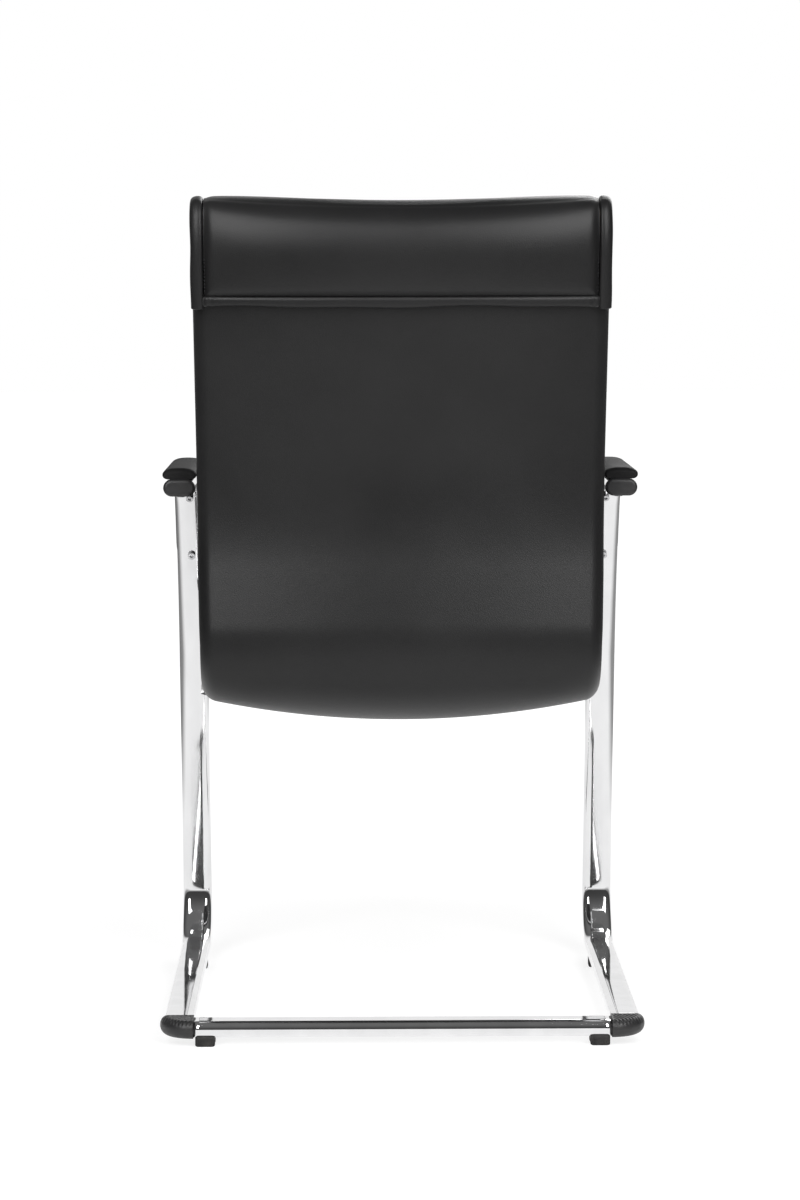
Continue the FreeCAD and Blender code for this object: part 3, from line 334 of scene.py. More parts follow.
# Pebbled black leather: cells of about 1.3 mm with finer pores, and a slow change in sheen and tone.
def leatherFinish(name, sheen, low, high):
    made = Finish(name, Roughness=low, Specular_IOR_Level=sheen)
    slow = made.noise(6, 3)
    grain = made.sum(made.cells(760), made.noise(1900, 2), 0.5)
    made.tint(made.span(slow, 0, 1), (0.0085, 0.0084, 0.0087), (0.0135, 0.0133, 0.0136))
    made.rough(made.sum(made.span(slow, low, high), made.cells(760), 0.06))
    made.bump(made.sum(grain, made.noise(60, 3), 0.4), 0.24, 0.00035)
    return made.material


# Bright chrome over drawn tube: mirror clear, with a trace of polishing haze.
def chromeFinish():
    made = Finish("chrome_tube", Metallic=1.0, Roughness=0.05)
    haze = made.noise(34, 4, (1, 1, 0.35))
    made.tint(made.span(haze, 0, 1), (0.73, 0.73, 0.735), (0.80, 0.80, 0.805))
    made.rough(made.span(haze, 0.035, 0.075))
    made.bump(made.noise(90, 2), 0.006, 0.0003)
    return made.material


# Moulded black plastic with a fine spark-eroded texture.
def plasticFinish():
    made = Finish("black_plastic", Roughness=0.45, Specular_IOR_Level=0.5)
    made.tint(made.span(made.noise(24, 3), 0, 1), (0.016, 0.016, 0.017), (0.027, 0.026, 0.026))
    made.rough(made.span(made.noise(160, 2), 0.38, 0.52))
    made.bump(made.noise(1500, 3), 0.25, 0.0002)
    return made.material


# Black rubber of the glides, dusty in patches.
def rubberFinish():
    made = Finish("glide_rubber", Roughness=0.7, Specular_IOR_Level=0.35)
    made.tint(made.span(made.noise(90, 4), 0, 1), (0.018, 0.018, 0.018), (0.038, 0.036, 0.034))
    made.rough(made.span(made.noise(220, 2), 0.6, 0.8))
    made.bump(made.noise(1100, 3), 0.3, 0.0003)
    return made.material


# Black powder coat of the seat rails, with its orange peel.
def paintFinish():
    made = Finish("black_steel", Roughness=0.4)
    made.tint(made.span(made.noise(18, 3), 0, 1), (0.018, 0.018, 0.018), (0.030, 0.030, 0.031))
    made.rough(made.span(made.noise(120, 2), 0.34, 0.46))
    made.bump(made.noise(900, 2), 0.2, 0.0003)
    return made.material


# Zinc plating: bright grey steel, brushed along one way, duller in blotches.
def zincFinish():
    made = Finish("zinc_steel", Metallic=1.0, Roughness=0.28)
    made.tint(made.span(made.noise(120, 3), 0, 1), (0.52, 0.52, 0.53), (0.68, 0.68, 0.69))
    made.rough(made.span(made.noise(300, 3, (1, 1, 6)), 0.2, 0.36))
    made.bump(made.noise(1400, 2, (1, 1, 5)), 0.08, 0.0002)
    return made.material


# Black thread with a twist in it.
def threadFinish():
    made = Finish("black_thread", Roughness=0.6)
    made.tint(made.span(made.noise(400, 2), 0, 1), (0.008, 0.008, 0.009), (0.018, 0.018, 0.019))
    made.bump(made.noise(2600, 2, (1, 1, 3)), 0.3, 0.0002)
    return made.material


# Pale veneer: broad streaks with finer ones over them.
def plyFinish():
    made = Finish("plywood", Roughness=0.6)
    bands = made.sum(made.noise(70, 4, (1, 6, 6)), made.noise(500, 3, (0.1, 1, 1)), 0.5)
    made.tint(made.span(bands, 0, 1, 0.4, 1.0), (0.42, 0.27, 0.14), (0.68, 0.50, 0.31))
    made.bump(bands, 0.15, 0.0003)
    return made.material


leather = leatherFinish("black_leather", sheen=0.33, low=0.35, high=0.41)
armLeather = leatherFinish("arm_leather", sheen=0.16, low=0.62, high=0.70)
chrome, plastic = chromeFinish(), plasticFinish()
rubber, paint, zinc = rubberFinish(), paintFinish(), zincFinish()
thread, ply = threadFinish(), plyFinish()
print("finishes made")


# Steel frame

tube = {"width": 0.038, "height": 0.020, "x": 0.266, "step": 0.006, "bendFrom": 0.03, "bendTo": 0.33}
crossBar = {"halfLength": 0.2475, "y": 0.27931, "z": 0.020, "rows": 60}


# Flat oval: half circles of the height's radius on both sides of a flat, as (across, outward).
def flatOval(width, height, arcSteps=22, flatSteps=6):
    r = height / 2
    flat = width / 2 - r
    turn = np.linspace(-np.pi / 2, np.pi / 2, arcSteps + 1)
    rim = np.stack([flat + r * np.cos(turn), r * np.sin(turn)], 1)
    top = np.linspace(flat, -flat, flatSteps + 1)[1:-1]
    top = np.stack([top, np.full(top.shape, r)], 1)
    return np.concatenate([rim, top, -rim, -top])


# Ring of (across, outward) carried along a track at a place x: outward is (-sin h, cos h) in the side view.
def sweep(ring, track, s, x):
    y, z, h = (v[:, None] for v in walk(track, s))
    across, out = ring[..., 0], ring[..., 1]
    across, out, y, z, h = np.broadcast_arrays(across, out, y, z, h)
    return np.stack([x + across, y - np.sin(h) * out, z + np.cos(h) * out], -1)


# Flat oval carried along the tube's track.
def makeTube(name, side):
    s = np.linspace(0, tubeEnd, int(tubeEnd / tube["step"]))
    ring = flatOval(tube["width"], tube["height"])[None]
    piece = newPiece(name, sweep(ring, tubeTrack, s, side * tube["x"]))
    dress(piece, chrome, "chrome_tube", None, name + "_tube")
    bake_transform(piece)


# Flat oval carried straight across.
def makeCrossBar():
    ring = flatOval(tube["width"], tube["height"])
    x = np.linspace(-crossBar["halfLength"], crossBar["halfLength"], crossBar["rows"])[:, None]
    y, z = crossBar["y"] + ring[None, :, 0], crossBar["z"] + ring[None, :, 1]
    points = np.stack(np.broadcast_arrays(x, y, z), -1)
    dress(newPiece("cross_bar", points), chrome, "chrome_tube", "base", "rear_cross_bar")


for sideName, side in sides.items():
    makeTube(sideName + "_side", side)
makeCrossBar()
print("tubes and bar made")


# Corner elbows

elbow = {"x": 0.247, "y": 0.26031, "z": 0.020, "reach": 0.0405, "height": 0.022, "edge": 0.0095, "core": 0.0004,
         "flats": 60, "rows": 73, "ribPitch": 0.0048, "ribHeight": 0.0015, "ribTurn": 24,
         "ribCore": (0.004, 0.003), "ribRim": (0.0004, 0.002), "ribLow": (0.12, 0.4), "ribEnds": (0.0, 0.004)}


# A flat section with a round outer edge, turned a quarter round the corner between runner and bar. Grip ribs
# stand on its top and over its edge as |cos|^0.7 waves of the distance across them, and fade out at its borders.
def makeElbow(name, side):
    p = elbow
    half, edge, reach = p["height"] / 2, p["edge"], p["reach"]
    turn = np.radians(np.linspace(90, -90, 25))[1:-1]
    flat = np.linspace(p["core"], reach - edge, p["flats"])
    rho = np.concatenate([flat, reach - edge + edge * np.cos(turn), flat[::-1]])[None]
    rise = np.concatenate([0 * flat + half, half * np.sin(turn), 0 * flat - half])[None]
    angle = np.radians(np.linspace(0, 90, p["rows"]))[:, None]
    x, y = rho * np.cos(angle), rho * np.sin(angle)
    tilt = np.radians(p["ribTurn"])
    wave = np.abs(np.cos(np.pi * (x * np.cos(tilt) - y * np.sin(tilt)) / p["ribPitch"])) ** 0.7
    ramp = lambda value, start, width: np.clip((value - start) / width, 0, 1)
    cover = ramp(rho, *p["ribCore"]) * ramp(reach - rho, *p["ribRim"]) * ramp(rise / half, *p["ribLow"])
    ribs = p["ribHeight"] * (wave - 1) * cover * ramp(np.minimum(x, y), *p["ribEnds"])
    points = np.stack([side * (p["x"] + x), p["y"] + y, p["z"] + rise + ribs], -1)
    dress(newPiece(name, points), plastic, "black_plastic", "base", name.replace("elbow", "corner_connector"))


# Glides

glide = {"height": 0.0135, "chamfer": 0.0025, "inset": 0.006, "columns": 320,
         "levels": (0.0, 0.0, 0.0006, 0.0016, 0.0045, 0.0075, 0.0085, 0.0095),
         "insets": (0.006, 0.0012, 0.0003, 0, 0, 0, 0, 0),
         "flutes": 40, "fluteDepth": 0.0008, "fluteLevels": (0.0, 0.0004, 0.0078, 0.0086)}


# Rounded rectangle (superellipse of power 8) carried up, fluted below by a cosine of the way round, chamfered above.
def makeGlide(name):
    low, high = (np.array(corner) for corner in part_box(name))
    centre, half = (low + high) / 2, (high - low) / 2
    a = np.linspace(0, 2 * np.pi, glide["columns"], endpoint=False)
    turned = lambda v: np.sign(v) * np.abs(v) ** 0.25
    outline = np.stack([half[0] * turned(np.cos(a)), half[1] * turned(np.sin(a))], 1)
    steps = np.linalg.norm(np.roll(outline, -1, 0) - outline, axis=1)
    along = np.concatenate([[0], np.cumsum(steps)[:-1]]) / steps.sum()
    top, chamfer = glide["height"], glide["chamfer"]
    level = np.array([*glide["levels"], top - chamfer, top, top])
    inset = np.array([*glide["insets"], 0, chamfer, glide["inset"]])
    flute = glide["fluteDepth"] * np.interp(level, glide["fluteLevels"], [0, 1, 1, 0])
    draw = inset[:, None] + flute[:, None] * (0.5 + 0.5 * np.cos(2 * np.pi * glide["flutes"] * along))[None]
    scale = 1 - draw[..., None] / half[:2]
    plan = centre[:2] + outline[None] * scale
    points = np.concatenate([plan, np.broadcast_to(level[:, None, None], draw.shape + (1,))], -1)
    dress(newPiece(name.replace("glide", "foot"), points), rubber, "black_plastic", "base", name)


for sideName, side in sides.items():
    makeElbow(sideName + "_elbow", side)
    for endName in ("rear", "front"):
        makeGlide("%s_%s_glide" % (sideName, endName))
print("elbows and glides made")


# Arms

endCap = {"inside": 0.0002, "head": 0.0052, "round": 0.0042, "grow": 0.0004}
armPad = {"from": 1.0313, "over": 0.0015, "bottom": 0.0103, "belly": 0.0050, "halfWidth": 0.0206, "foot": 0.0150,
          "height": 0.0137, "rearRound": 0.008, "frontRound": 0.024, "step": 0.003, "gap": 0.001,
          "frontEnd": (0.72, 0.16), "rearEnd": (0.84, 0.52)}
armY, armZ, _ = walk(tubeTrack, tubeEnd)


# Pill over the tube's end: the flat oval set in by r (1 - sqrt(1 - t^2)) towards its outer face.
def makeEndCap(name, side):
    t = np.sin(np.radians(np.linspace(0, 90, 10)))
    level = armY + np.concatenate([[-endCap["inside"]], endCap["head"] - endCap["round"] * (1 - t)])
    inset = np.concatenate([[0], endCap["round"] * (1 - np.sqrt(1 - t ** 2))]) - endCap["grow"]
    rings = np.stack([flatOval(tube["width"] - 2 * i, tube["height"] - 2 * i) for i in inset])
    y = np.broadcast_to(level[:, None], rings.shape[:2])
    points = np.stack([side * tube["x"] + rings[..., 0], y, armZ + rings[..., 1]], -1)
    dress(newPiece(name + "_plug", points), plastic, "black_plastic", "seat", name + "_end_cap")


# Domed pad on the tube's outside: section x = w cos^0.8 a, n = belly + (height - belly) sin^0.9 a above its widest
# line, drawn in to its foot below. Both ends are rounded off by sqrt(1 - (1 - d / r)^2), down to their shares of
# the width and the height.
def makeArmPad(name, side):
    p = armPad
    a = np.radians(np.linspace(0, 180, 41))
    power = lambda v, k: np.sign(v) * np.abs(v) ** k
    dome = np.stack([p["halfWidth"] * power(np.cos(a), 0.8),
                     p["belly"] + (p["height"] - p["belly"]) * power(np.sin(a), 0.9)], 1)
    b = np.radians(np.linspace(0, 90, 9))[1:]
    under = np.stack([-p["foot"] - (p["halfWidth"] - p["foot"]) * np.cos(b), p["belly"] * (1 - np.sin(b))], 1)
    foot = np.linspace(-p["foot"], p["foot"], 9)[1:-1]
    ring = np.concatenate([dome, under, np.stack([foot, 0 * foot], 1), (under * [-1, 1])[::-1]])
    end = tubeEnd + p["over"]
    edge = 1 - np.cos(np.radians(np.linspace(0, 90, 12)))
    straight = np.arange(p["from"] + p["frontRound"] + p["step"], end - p["rearRound"] - p["gap"], p["step"])
    s = np.concatenate([p["from"] + p["frontRound"] * edge, straight, end - p["rearRound"] * edge[::-1]])
    fall = lambda d, r: np.sqrt(1 - (1 - np.clip(d / r, 0, 1)) ** 2)
    front, rear = fall(s - p["from"], p["frontRound"]), fall(end - s, p["rearRound"])
    left = lambda share, part: share + (1 - share) * part
    wide, high = (left(f, front) * left(r, rear) for f, r in zip(p["frontEnd"], p["rearEnd"]))
    rings = np.stack([ring[None, :, 0] * wide[:, None], p["bottom"] + ring[None, :, 1] * high[:, None]], -1)
    piece = newPiece(name + "_cushion", sweep(rings, tubeTrack, s, side * tube["x"]))
    dress(piece, armLeather, "black_leather", "seat", name + "_pad")


for sideName, side in sides.items():
    makeEndCap(sideName + "_arm", side)
    makeArmPad(sideName + "_arm", side)
print("arms made")


# Rear cover

rearCover = {"halfWidth": 0.2405, "roll": 0.017, "side": 0.0235, "inside": 0.0098, "step": 0.006,
             "front": -0.004, "top": shellTop - 0.030, "solid": (0.0, 0.0008, 0.0034), "open": 0.0035,
             "noseWidth": 0.995, "noseDepth": 0.9, "noseStart": 0.0015, "flats": 34, "inners": 24,
             "lip": ((0.0, 0.0012), (0.0006, 0.0003), (0.0016, 0.0), (0.0064, 0.0008)),
             "wider": ((0.0, 0), (0.56, 0), (0.66, 0.0022), (0.76, 0.0030), (0.972, 0.0040), (0.990, 0.0)),
             "widerFrom": 0.050, "widerOver": 0.030}


# Thin padded skin: flat outside, quarter-ellipse rolls round both sides, a lip of points set in from the side and
# from its height, and an inner face, carried along the shell. Its first rows are solid, so that it closes over the
# front edge of the wood. Up the back its sides stand out by wider.
def makeRearCover():
    p = rearCover
    w, roll = p["halfWidth"], p["roll"]
    flat = np.linspace(0, w - roll, p["flats"])
    turn = np.radians(np.linspace(0, 90, 12))[1:]
    lipIn, lipDown = np.array(p["lip"]).T
    x = np.concatenate([flat, w - roll + roll * np.sin(turn), w - lipIn])
    depth = np.concatenate([0 * flat, roll * (1 - np.cos(turn)), p["side"] - lipDown])
    inner = np.linspace(x[-1], 0, p["inners"])
    half = np.stack([np.concatenate([x, inner]), np.concatenate([depth, np.full(inner.shape, p["inside"])])], 1)
    solid = half.copy()
    solid[-len(inner):, 1] = depth[-1]
    mirror = lambda ring: np.concatenate([ring, (ring * [-1, 1])[-2:0:-1]])
    outside = np.clip((x[:-1] - w + p["widerFrom"]) / p["widerOver"], 0, 1)
    pull = np.zeros(half.shape)
    pull[:len(outside), 0] = outside
    s = np.arange(p["front"] + p["open"], p["top"], p["step"])
    s = np.concatenate([p["front"] + np.array(p["solid"]), s, [p["top"]]])
    rings = np.repeat(mirror(half)[None], len(s), 0)
    rings[:len(p["solid"])] = mirror(solid)
    rings[0, :, 0] *= p["noseWidth"]
    rings[0, :, 1] = p["noseStart"] + rings[0, :, 1] * p["noseDepth"]
    rings[..., 0] += np.interp(s, *zip(*p["wider"]))[:, None] * mirror(pull)[:, 0]
    piece = newPiece("rear_cover_skin", shellPoint(rings[..., 0], s[:, None], rings[..., 1]))
    dress(piece, leather, "black_leather", "seat", "rear_cover")


makeRearCover()
print("rear cover made")


# Seat and back cushions

seatPad = {"name": "seat_cushion", "from": -0.0222, "to": 0.4975, "crown": 0.0623, "edge": 0.0353, "tip": 0.0150,
           "plan": 0.016, "startRound": 0.038, "endRound": 0.012, "pressure": 3.0, "reach": 0.008}
backPad = {"name": "back_cushion", "from": 0.5003, "to": shellTop - 0.026, "crown": 0.0473, "edge": 0.0223,
           "tip": 0.0050, "plan": 0.0, "startRound": 0.012, "endRound": 0.010, "pressure": 3.0, "reach": 0.007}
pad = {"halfWidth": 0.2400, "foot": 0.2345, "corner": 0.013, "cornerShare": 0.45, "waist": 0.0035, "step": 0.007,
       "gap": 0.003, "footColumns": 30, "faceColumns": 60, "wall": (0.05, 0.3, 0.6, 0.85)}


# Depth of a pad's face at x: edge + (crown - edge) (1 - (x / w)^4).
def crownAt(x, crown, edge):
    return edge + (crown - edge) * (1 - (x / shell["halfWidth"]) ** 4)


# Closed pad: flat foot, upright sides drawn in between the corners by waist sin(pi t)^0.6, a rounded edge and a face
# of the depth crownAt. Its start is a half ellipse about the height tip, drawn in sideways by plan towards its nose,
# and its end a quarter. The foot, the edge seams and both ends stay put when it is padded.
def makePad(p, *replaced):
    start, end = np.radians(np.linspace(14, 90, 10)), np.radians(np.linspace(90, 14, 7))
    straight = np.arange(p["from"] + p["startRound"] + pad["step"], p["to"] - p["endRound"] - pad["gap"], pad["step"])
    s = np.concatenate([p["from"] + p["startRound"] * (1 - np.cos(start)), straight,
                        p["to"] - p["endRound"] * (1 - np.cos(end))])
    fall = np.concatenate([np.sin(start), np.ones(len(straight)), np.sin(end)])[:, None]
    waist = pad["waist"] * np.sin(np.pi * (s - p["from"]) / (p["to"] - p["from"])) ** 0.6
    w = (pad["halfWidth"] - waist)[:, None]
    foot = np.linspace(-pad["foot"], pad["foot"], pad["footColumns"])[None]
    wall = np.array(pad["wall"])[None]
    turn = np.radians(np.linspace(0, 90, 7))[None]
    face = np.linspace(1, -1, pad["faceColumns"] + 2)[None, 1:-1]
    base = np.concatenate([p["tip"] * (1 - np.sin(start)), np.zeros(len(straight) + len(end))])[:, None]
    top = base + (p["edge"] - base) * fall
    corner = np.minimum(pad["corner"], pad["cornerShare"] * (top - base))
    wallX, cornerX, faceX = w + 0 * wall, w - corner * (1 - np.cos(turn)), face * (w - corner)
    x = np.concatenate([foot + 0 * w, wallX, cornerX, faceX, -cornerX[:, ::-1], -wallX], 1)
    x = x * (1 - p["plan"] / pad["halfWidth"] * (base / p["tip"]) ** 2)
    wallUp, cornerUp = base + wall * (top - corner - base), top - corner * (1 - np.sin(turn))
    faceUp = base + fall * (crownAt(faceX, p["crown"], p["edge"]) - base)
    rise = np.concatenate([base + 0 * foot, wallUp, cornerUp, faceUp, cornerUp[:, ::-1], wallUp[:, ::-1]], 1)
    piece = newPiece(p["name"], shellPoint(x, s[:, None], shell["padInside"] + rise))
    held = np.zeros(x.shape, bool)
    held[:, :pad["footColumns"]] = True
    held[:, [pad["footColumns"] + len(pad["wall"]) + 1, -len(pad["wall"]) - 2]] = True
    held[[0, -1]] = True
    inflate(piece, held, p["pressure"], p["reach"])
    subdivide(piece)
    dress(piece, leather, "black_leather", "seat", *replaced)


makePad(seatPad, "seat_foam", "seat_cover")
makePad(backPad, "back_foam", "back_cover")
print("cushions made")


# Headrest hood

hood = {"drop": 0.092, "rear": -0.0128, "front": 0.0185, "rise": 0.0044, "corner": 0.034, "shoulder": 0.060,
        "halfWidth": 0.2302, "sideDrop": 0.0068, "rearSwell": 0.0050, "frontSwell": 0.0095, "topSwell": 0.0015,
        "endRise": 0.0062, "seamDip": 0.0050, "seamWidth": 0.006, "topDip": 0.5, "hemDip": 0.7,
        "pressure": 2.5, "reach": 0.004, "rows": 91}
lining = {"gap": 0.0006, "corner": 0.030, "shoulder": 0.056, "rise": -0.004, "steps": 9}
strip = {"drop": 0.1060, "inner": 0.2305, "rise": 0.0098, "swell": 0.15, "legs": 36, "feet": 12,
         "waver": 0.0003, "waverPace": 88, "waverFrom": 0.007, "waverOver": 0.005, "rimScale": 0.85,
         "pinch": 1.1, "pinchAt": 0.040, "pinchWidth": 0.018,
         "section": ((0.0103, -0.0090, 0.03), (0.0103, -0.0090, 0.5), (0.0103, -0.0090, 1), (0.0, -0.0090, 1),
                     (0.0, -0.0045, 1), (0.0004, -0.0022, 1), (0.0012, -0.0006, 1), (0.0028, 0.0006, 1),
                     (0.0060, 0.0013, 1), (0.0095, 0.0010, 1), (0.0122, 0.0001, 1), (0.0139, -0.0013, 1),
                     (0.0149, -0.0032, 1), (0.0153, -0.0060, 1), (0.0150, -0.0100, 1), (0.0146, -0.0140, 0.9),
                     (0.0142, -0.0140, 0.6), (0.0140, -0.0140, 0.3), (0.0140, -0.0140, 0.03))}
hem = {"top": 0.0915, "height": 0.0135, "thick": 0.0125, "halfWidth": 0.2448, "gap": 0.0004, "rows": 150,
       "columns": 28, "gather": 0.0011, "gatherPace": 720, "gatherTwist": 2.2, "gatherWidth": 0.030,
       "endSag": 0.10, "endPower": 40, "endLeast": 0.02, "wavers": ((0.0012, 21, 0.6), (0.0007, 47, 2.0))}
stitches = {"inset": 0.0012, "short": 0.004, "sink": 0.0038, "pitch": 0.0042, "length": 0.0030, "radius": 0.00055}


# Depth of the back cushion's face, under the hood's front leg.
def backFace(x):
    return shell["padInside"] + crownAt(x, backPad["crown"], backPad["edge"])


# Half round the hood from the rear leg's foot over the top to the front leg's foot. Each shoulder is a quarter of an
# ellipse, corner deep and shoulder + rise high. Each sample has its share of the way from rear to front, its shift,
# its height below the top, the outward direction and how much it swells.
def archTable(drop, corner, shoulder, rise, legs=22, bends=24, tops=18):
    leg = np.linspace(0, 1, legs)
    turn = np.radians(np.linspace(0, 90, bends))[1:]
    across = np.linspace(0, 1, tops)[1:-1]
    swell = np.sin(np.pi * leg / 2) ** 0.8
    outIn, outDown = -np.cos(turn) / corner, -np.sin(turn) / (shoulder + rise)
    size = np.hypot(outIn, outDown)
    rear = [0 * leg, 0 * leg, drop + (shoulder - drop) * leg, 0 * leg - 1, 0 * leg, swell * hood["rearSwell"]]
    climb = [0 * turn, corner * (1 - np.cos(turn)), shoulder - (shoulder + rise) * np.sin(turn),
             outIn / size, outDown / size, np.cos(turn) * hood["rearSwell"]]
    top = [across, corner * (1 - 2 * across), 0 * across - rise, 0 * across, 0 * across - 1,
           np.sin(np.pi * across) ** 2 * hood["topSwell"]]
    fuller = hood["frontSwell"] / hood["rearSwell"]
    mirrored = lambda part: [1 - part[0][::-1], -part[1][::-1], part[2][::-1], -part[3][::-1], part[4][::-1],
                             part[5][::-1] * fuller]
    parts = zip(rear, climb, top, mirrored(climb), mirrored(rear))
    return np.stack([np.concatenate(rows) for rows in parts])


# Points of the arch at x, lifted outwards: inwards = rear or front face by share, plus shift and swell. The legs
# reach lower towards the sides, to keep a level edge on the dished back.
def archPoints(x, table, rear, front, swell, lift):
    share, shift, down, outIn, outDown, puff = table
    amount = puff * swell + lift
    inward = (1 - share) * rear + share * (backFace(x) + front) + shift + outIn * amount
    down = down + np.maximum(down, 0) * hood["sideDrop"] / hood["drop"] * (x / shell["halfWidth"]) ** 2
    return inward, down + outDown * amount


def hoodPoint(x, down, inward):
    return shellPoint(x, shellTop - down, inward)


# Pillow between the strips: the arch swells by 1 - (x / w)^6, rises towards both ends by endRise (x / w)^2 and sinks
# into its seams as a bell curve. A plain arch inside it is its lining.
def makeHoodPanel():
    p = hood
    w = p["halfWidth"]
    x = w * np.sin(np.linspace(-1, 1, p["rows"]) * np.pi / 2)[:, None]
    outer = archTable(p["drop"], p["corner"], p["shoulder"], p["rise"])[:, None]
    steps = [lining["steps"]] * 3
    inner = archTable(p["drop"], lining["corner"], lining["shoulder"], lining["rise"], *steps)[:, None]
    fromSide = w - np.abs(x)
    fromHem = np.clip(p["drop"] - outer[2], 0, 1)
    bell = lambda d: np.exp(-(d / p["seamWidth"]) ** 2)
    swell = 1 - np.abs(x / w) ** 6
    upward = -outer[4]
    lift = p["endRise"] * (x / w) ** 2 * upward
    sideDip, hemDip = bell(fromSide) * (1 - p["topDip"] * upward), p["hemDip"] * bell(fromHem)
    lift = lift - p["seamDip"] * np.maximum(sideDip, hemDip)
    outIn, outDown = archPoints(x, outer, p["rear"], p["front"], swell, lift)
    inIn, inDown = archPoints(x, inner, -lining["gap"], lining["gap"], 0, 0)
    inward = np.concatenate([outIn, inIn[:, ::-1]], 1)
    down = np.concatenate([outDown, np.broadcast_to(inDown, inIn.shape)[:, ::-1]], 1)
    piece = newPiece("headrest_pillow", hoodPoint(x, down, inward))
    held = np.zeros(inward.shape, bool)
    held[:, outIn.shape[1]:] = True
    held[[0, 1, -2, -1]] = True
    held[:, [0, 1, outIn.shape[1] - 2, outIn.shape[1] - 1]] = True
    inflate(piece, held, p["pressure"], p["reach"])
    subdivide(piece)
    dress(piece, leather, "black_leather", "seat", "headrest_foam", "headrest_cover")


# Side strip: a section of (distance beyond the inner face, lift, scale) round the closed outline of the arch, from
# its hidden inner face over the visible band to the flat side. The band's edge wavers by a sine and is pinched once.
def makeStrip(name, side):
    p = strip
    table = archTable(p["drop"], hood["corner"], hood["shoulder"], p["rise"], p["legs"])
    foot = np.linspace(1, 0, p["feet"] + 2)[1:-1]
    low = np.stack([foot, 0 * foot, 0 * foot + p["drop"], 0 * foot, 0 * foot + 1, 0 * foot])
    table = np.concatenate([table, low], 1)[:, None]
    beyond, lift, scale = np.array(p["section"]).T[:, :, None]
    x = p["inner"] + beyond
    inward, down = archPoints(x, table, hood["rear"], hood["front"], p["swell"], lift)
    middleIn, middleDown = inward.mean(1, keepdims=True), down.mean(1, keepdims=True)
    edge = np.clip((beyond - p["waverFrom"]) / p["waverOver"], 0, 1) * (scale > p["rimScale"])
    pinch = p["pinch"] * np.exp(-((down - p["pinchAt"]) / p["pinchWidth"]) ** 2)
    x = x + p["waver"] * edge * (np.sin(down * p["waverPace"] + side) - pinch)
    inward = middleIn + (inward - middleIn) * scale
    down = middleDown + (down - middleDown) * scale
    piece = newPiece(name, hoodPoint(side * x, down, inward))
    subdivide(piece)
    dress(piece, leather, "black_leather", "seat", name.replace("strip", "gusset"))


# Rolled band under the pillow, behind and in front: an upright squarish oval of height h and thickness t, carried
# along x and closed at its ends, wavering by slow sines and gathered near the ends by quick ones.
def makeHem():
    p = hem
    x = p["halfWidth"] * np.sin(np.linspace(-1, 1, p["rows"])[:, None] * np.pi / 2)
    a = (np.arange(p["columns"]) * 2 * np.pi / p["columns"])[None]
    power = lambda v: np.sign(v) * np.abs(v) ** 0.75
    ends = 1 - np.abs(x / (p["halfWidth"] + p["gap"])) ** p["endPower"]
    ends = np.sqrt(np.clip(ends, p["endLeast"], 1))
    near = np.exp(-((p["halfWidth"] - np.abs(x)) / p["gatherWidth"]) ** 2)
    gather = p["gather"] * near * np.sin(x * p["gatherPace"] + p["gatherTwist"] * np.cos(a))
    waver = sum(size * np.sin(x * pace + shift) for size, pace, shift in p["wavers"])
    sag = p["height"] / 2 * (1 + p["endSag"] * near)
    level = p["top"] + hood["sideDrop"] * (x / shell["halfWidth"]) ** 2
    down = level + p["height"] / 2 + waver * (0.5 - 0.5 * np.sin(a)) - sag * ends * power(np.sin(a))
    out = p["gap"] + p["thick"] / 2 + (p["thick"] / 2 + gather) * ends * power(np.cos(a))
    legs = [hoodPoint(x, down, inward) for inward in (-out, backFace(x) + out)]
    dress(newPiece("headrest_roll", np.stack(legs)), leather, "black_leather", "seat", "headrest_hem")


# Thread along the strips' seams, sunk into the pillow's edge.
def makeStitches():
    p = stitches
    table = archTable(hood["drop"] - p["short"], hood["corner"], hood["shoulder"], hood["rise"], 40, 40, 30)
    x = np.full(table.shape[1], hood["halfWidth"] - p["inset"])
    rows = []
    for side in sides.values():
        seam, above = (hoodPoint(side * x, *archPoints(x, table, hood["rear"], hood["front"], 0, lift)[::-1])
                       for lift in (-p["sink"], 0.0))
        rows.append(stitchRow(seam, above - seam, p["pitch"], p["length"], p["radius"]))
    dress(newPiece("strip_stitches", np.concatenate(rows)), thread, "black_leather", "seat")


makeHoodPanel()
for sideName, side in sides.items():
    makeStrip(sideName + "_headrest_strip", side)
makeHem()
makeStitches()
print("headrest made")


# Steel and wood that stay as packed

kept = {"seat_cross_tube": chrome, "left_seat_rail": paint, "right_seat_rail": paint, "seat_bolts": zinc,
        "bolt_washers": zinc, "tee_nuts": zinc, "plywood_shell": ply, "left_arm_pad_core": paint,
        "right_arm_pad_core": paint, "left_arm_screws": zinc, "right_arm_screws": zinc}
for nodeName, material in kept.items():
    nodes[nodeName].data.materials.clear()
    nodes[nodeName].data.materials.append(material)
print("kept nodes finished")


# Studio

studio = {"floor": 40.0, "glow": (0.80, 1.0), "glowFrom": (0.6, 2.2), "sweepTone": (1.0, 0.10), "sweep": (2.0, 3.2),
          "sweepCentre": (0, -1.2, 0), "sweepScale": (2.2, 1, 1), "floorLevel": -0.0002, "floorTone": 0.3,
          "floorAlbedo": 0.8, "ceiling": (0.10, 0.90, 0.06, 0.16), "backdrop": (-0.90, -0.72, 0.95, 0.0)}
softboxes = {"left_softbox": {"place": (1.55, 2.72, 2.4), "aim": (0, 0.1, 0.55), "size": (1.5, 2.6), "power": 82},
             "right_softbox": {"place": (-1.55, 2.72, 2.4), "aim": (0, 0.1, 0.55), "size": (1.5, 2.6), "power": 82},
             "front_softbox": {"place": (-1.35, -2.7, 2.3), "aim": (0, -0.1, 0.6), "size": (2.4, 1.8), "power": 46}}


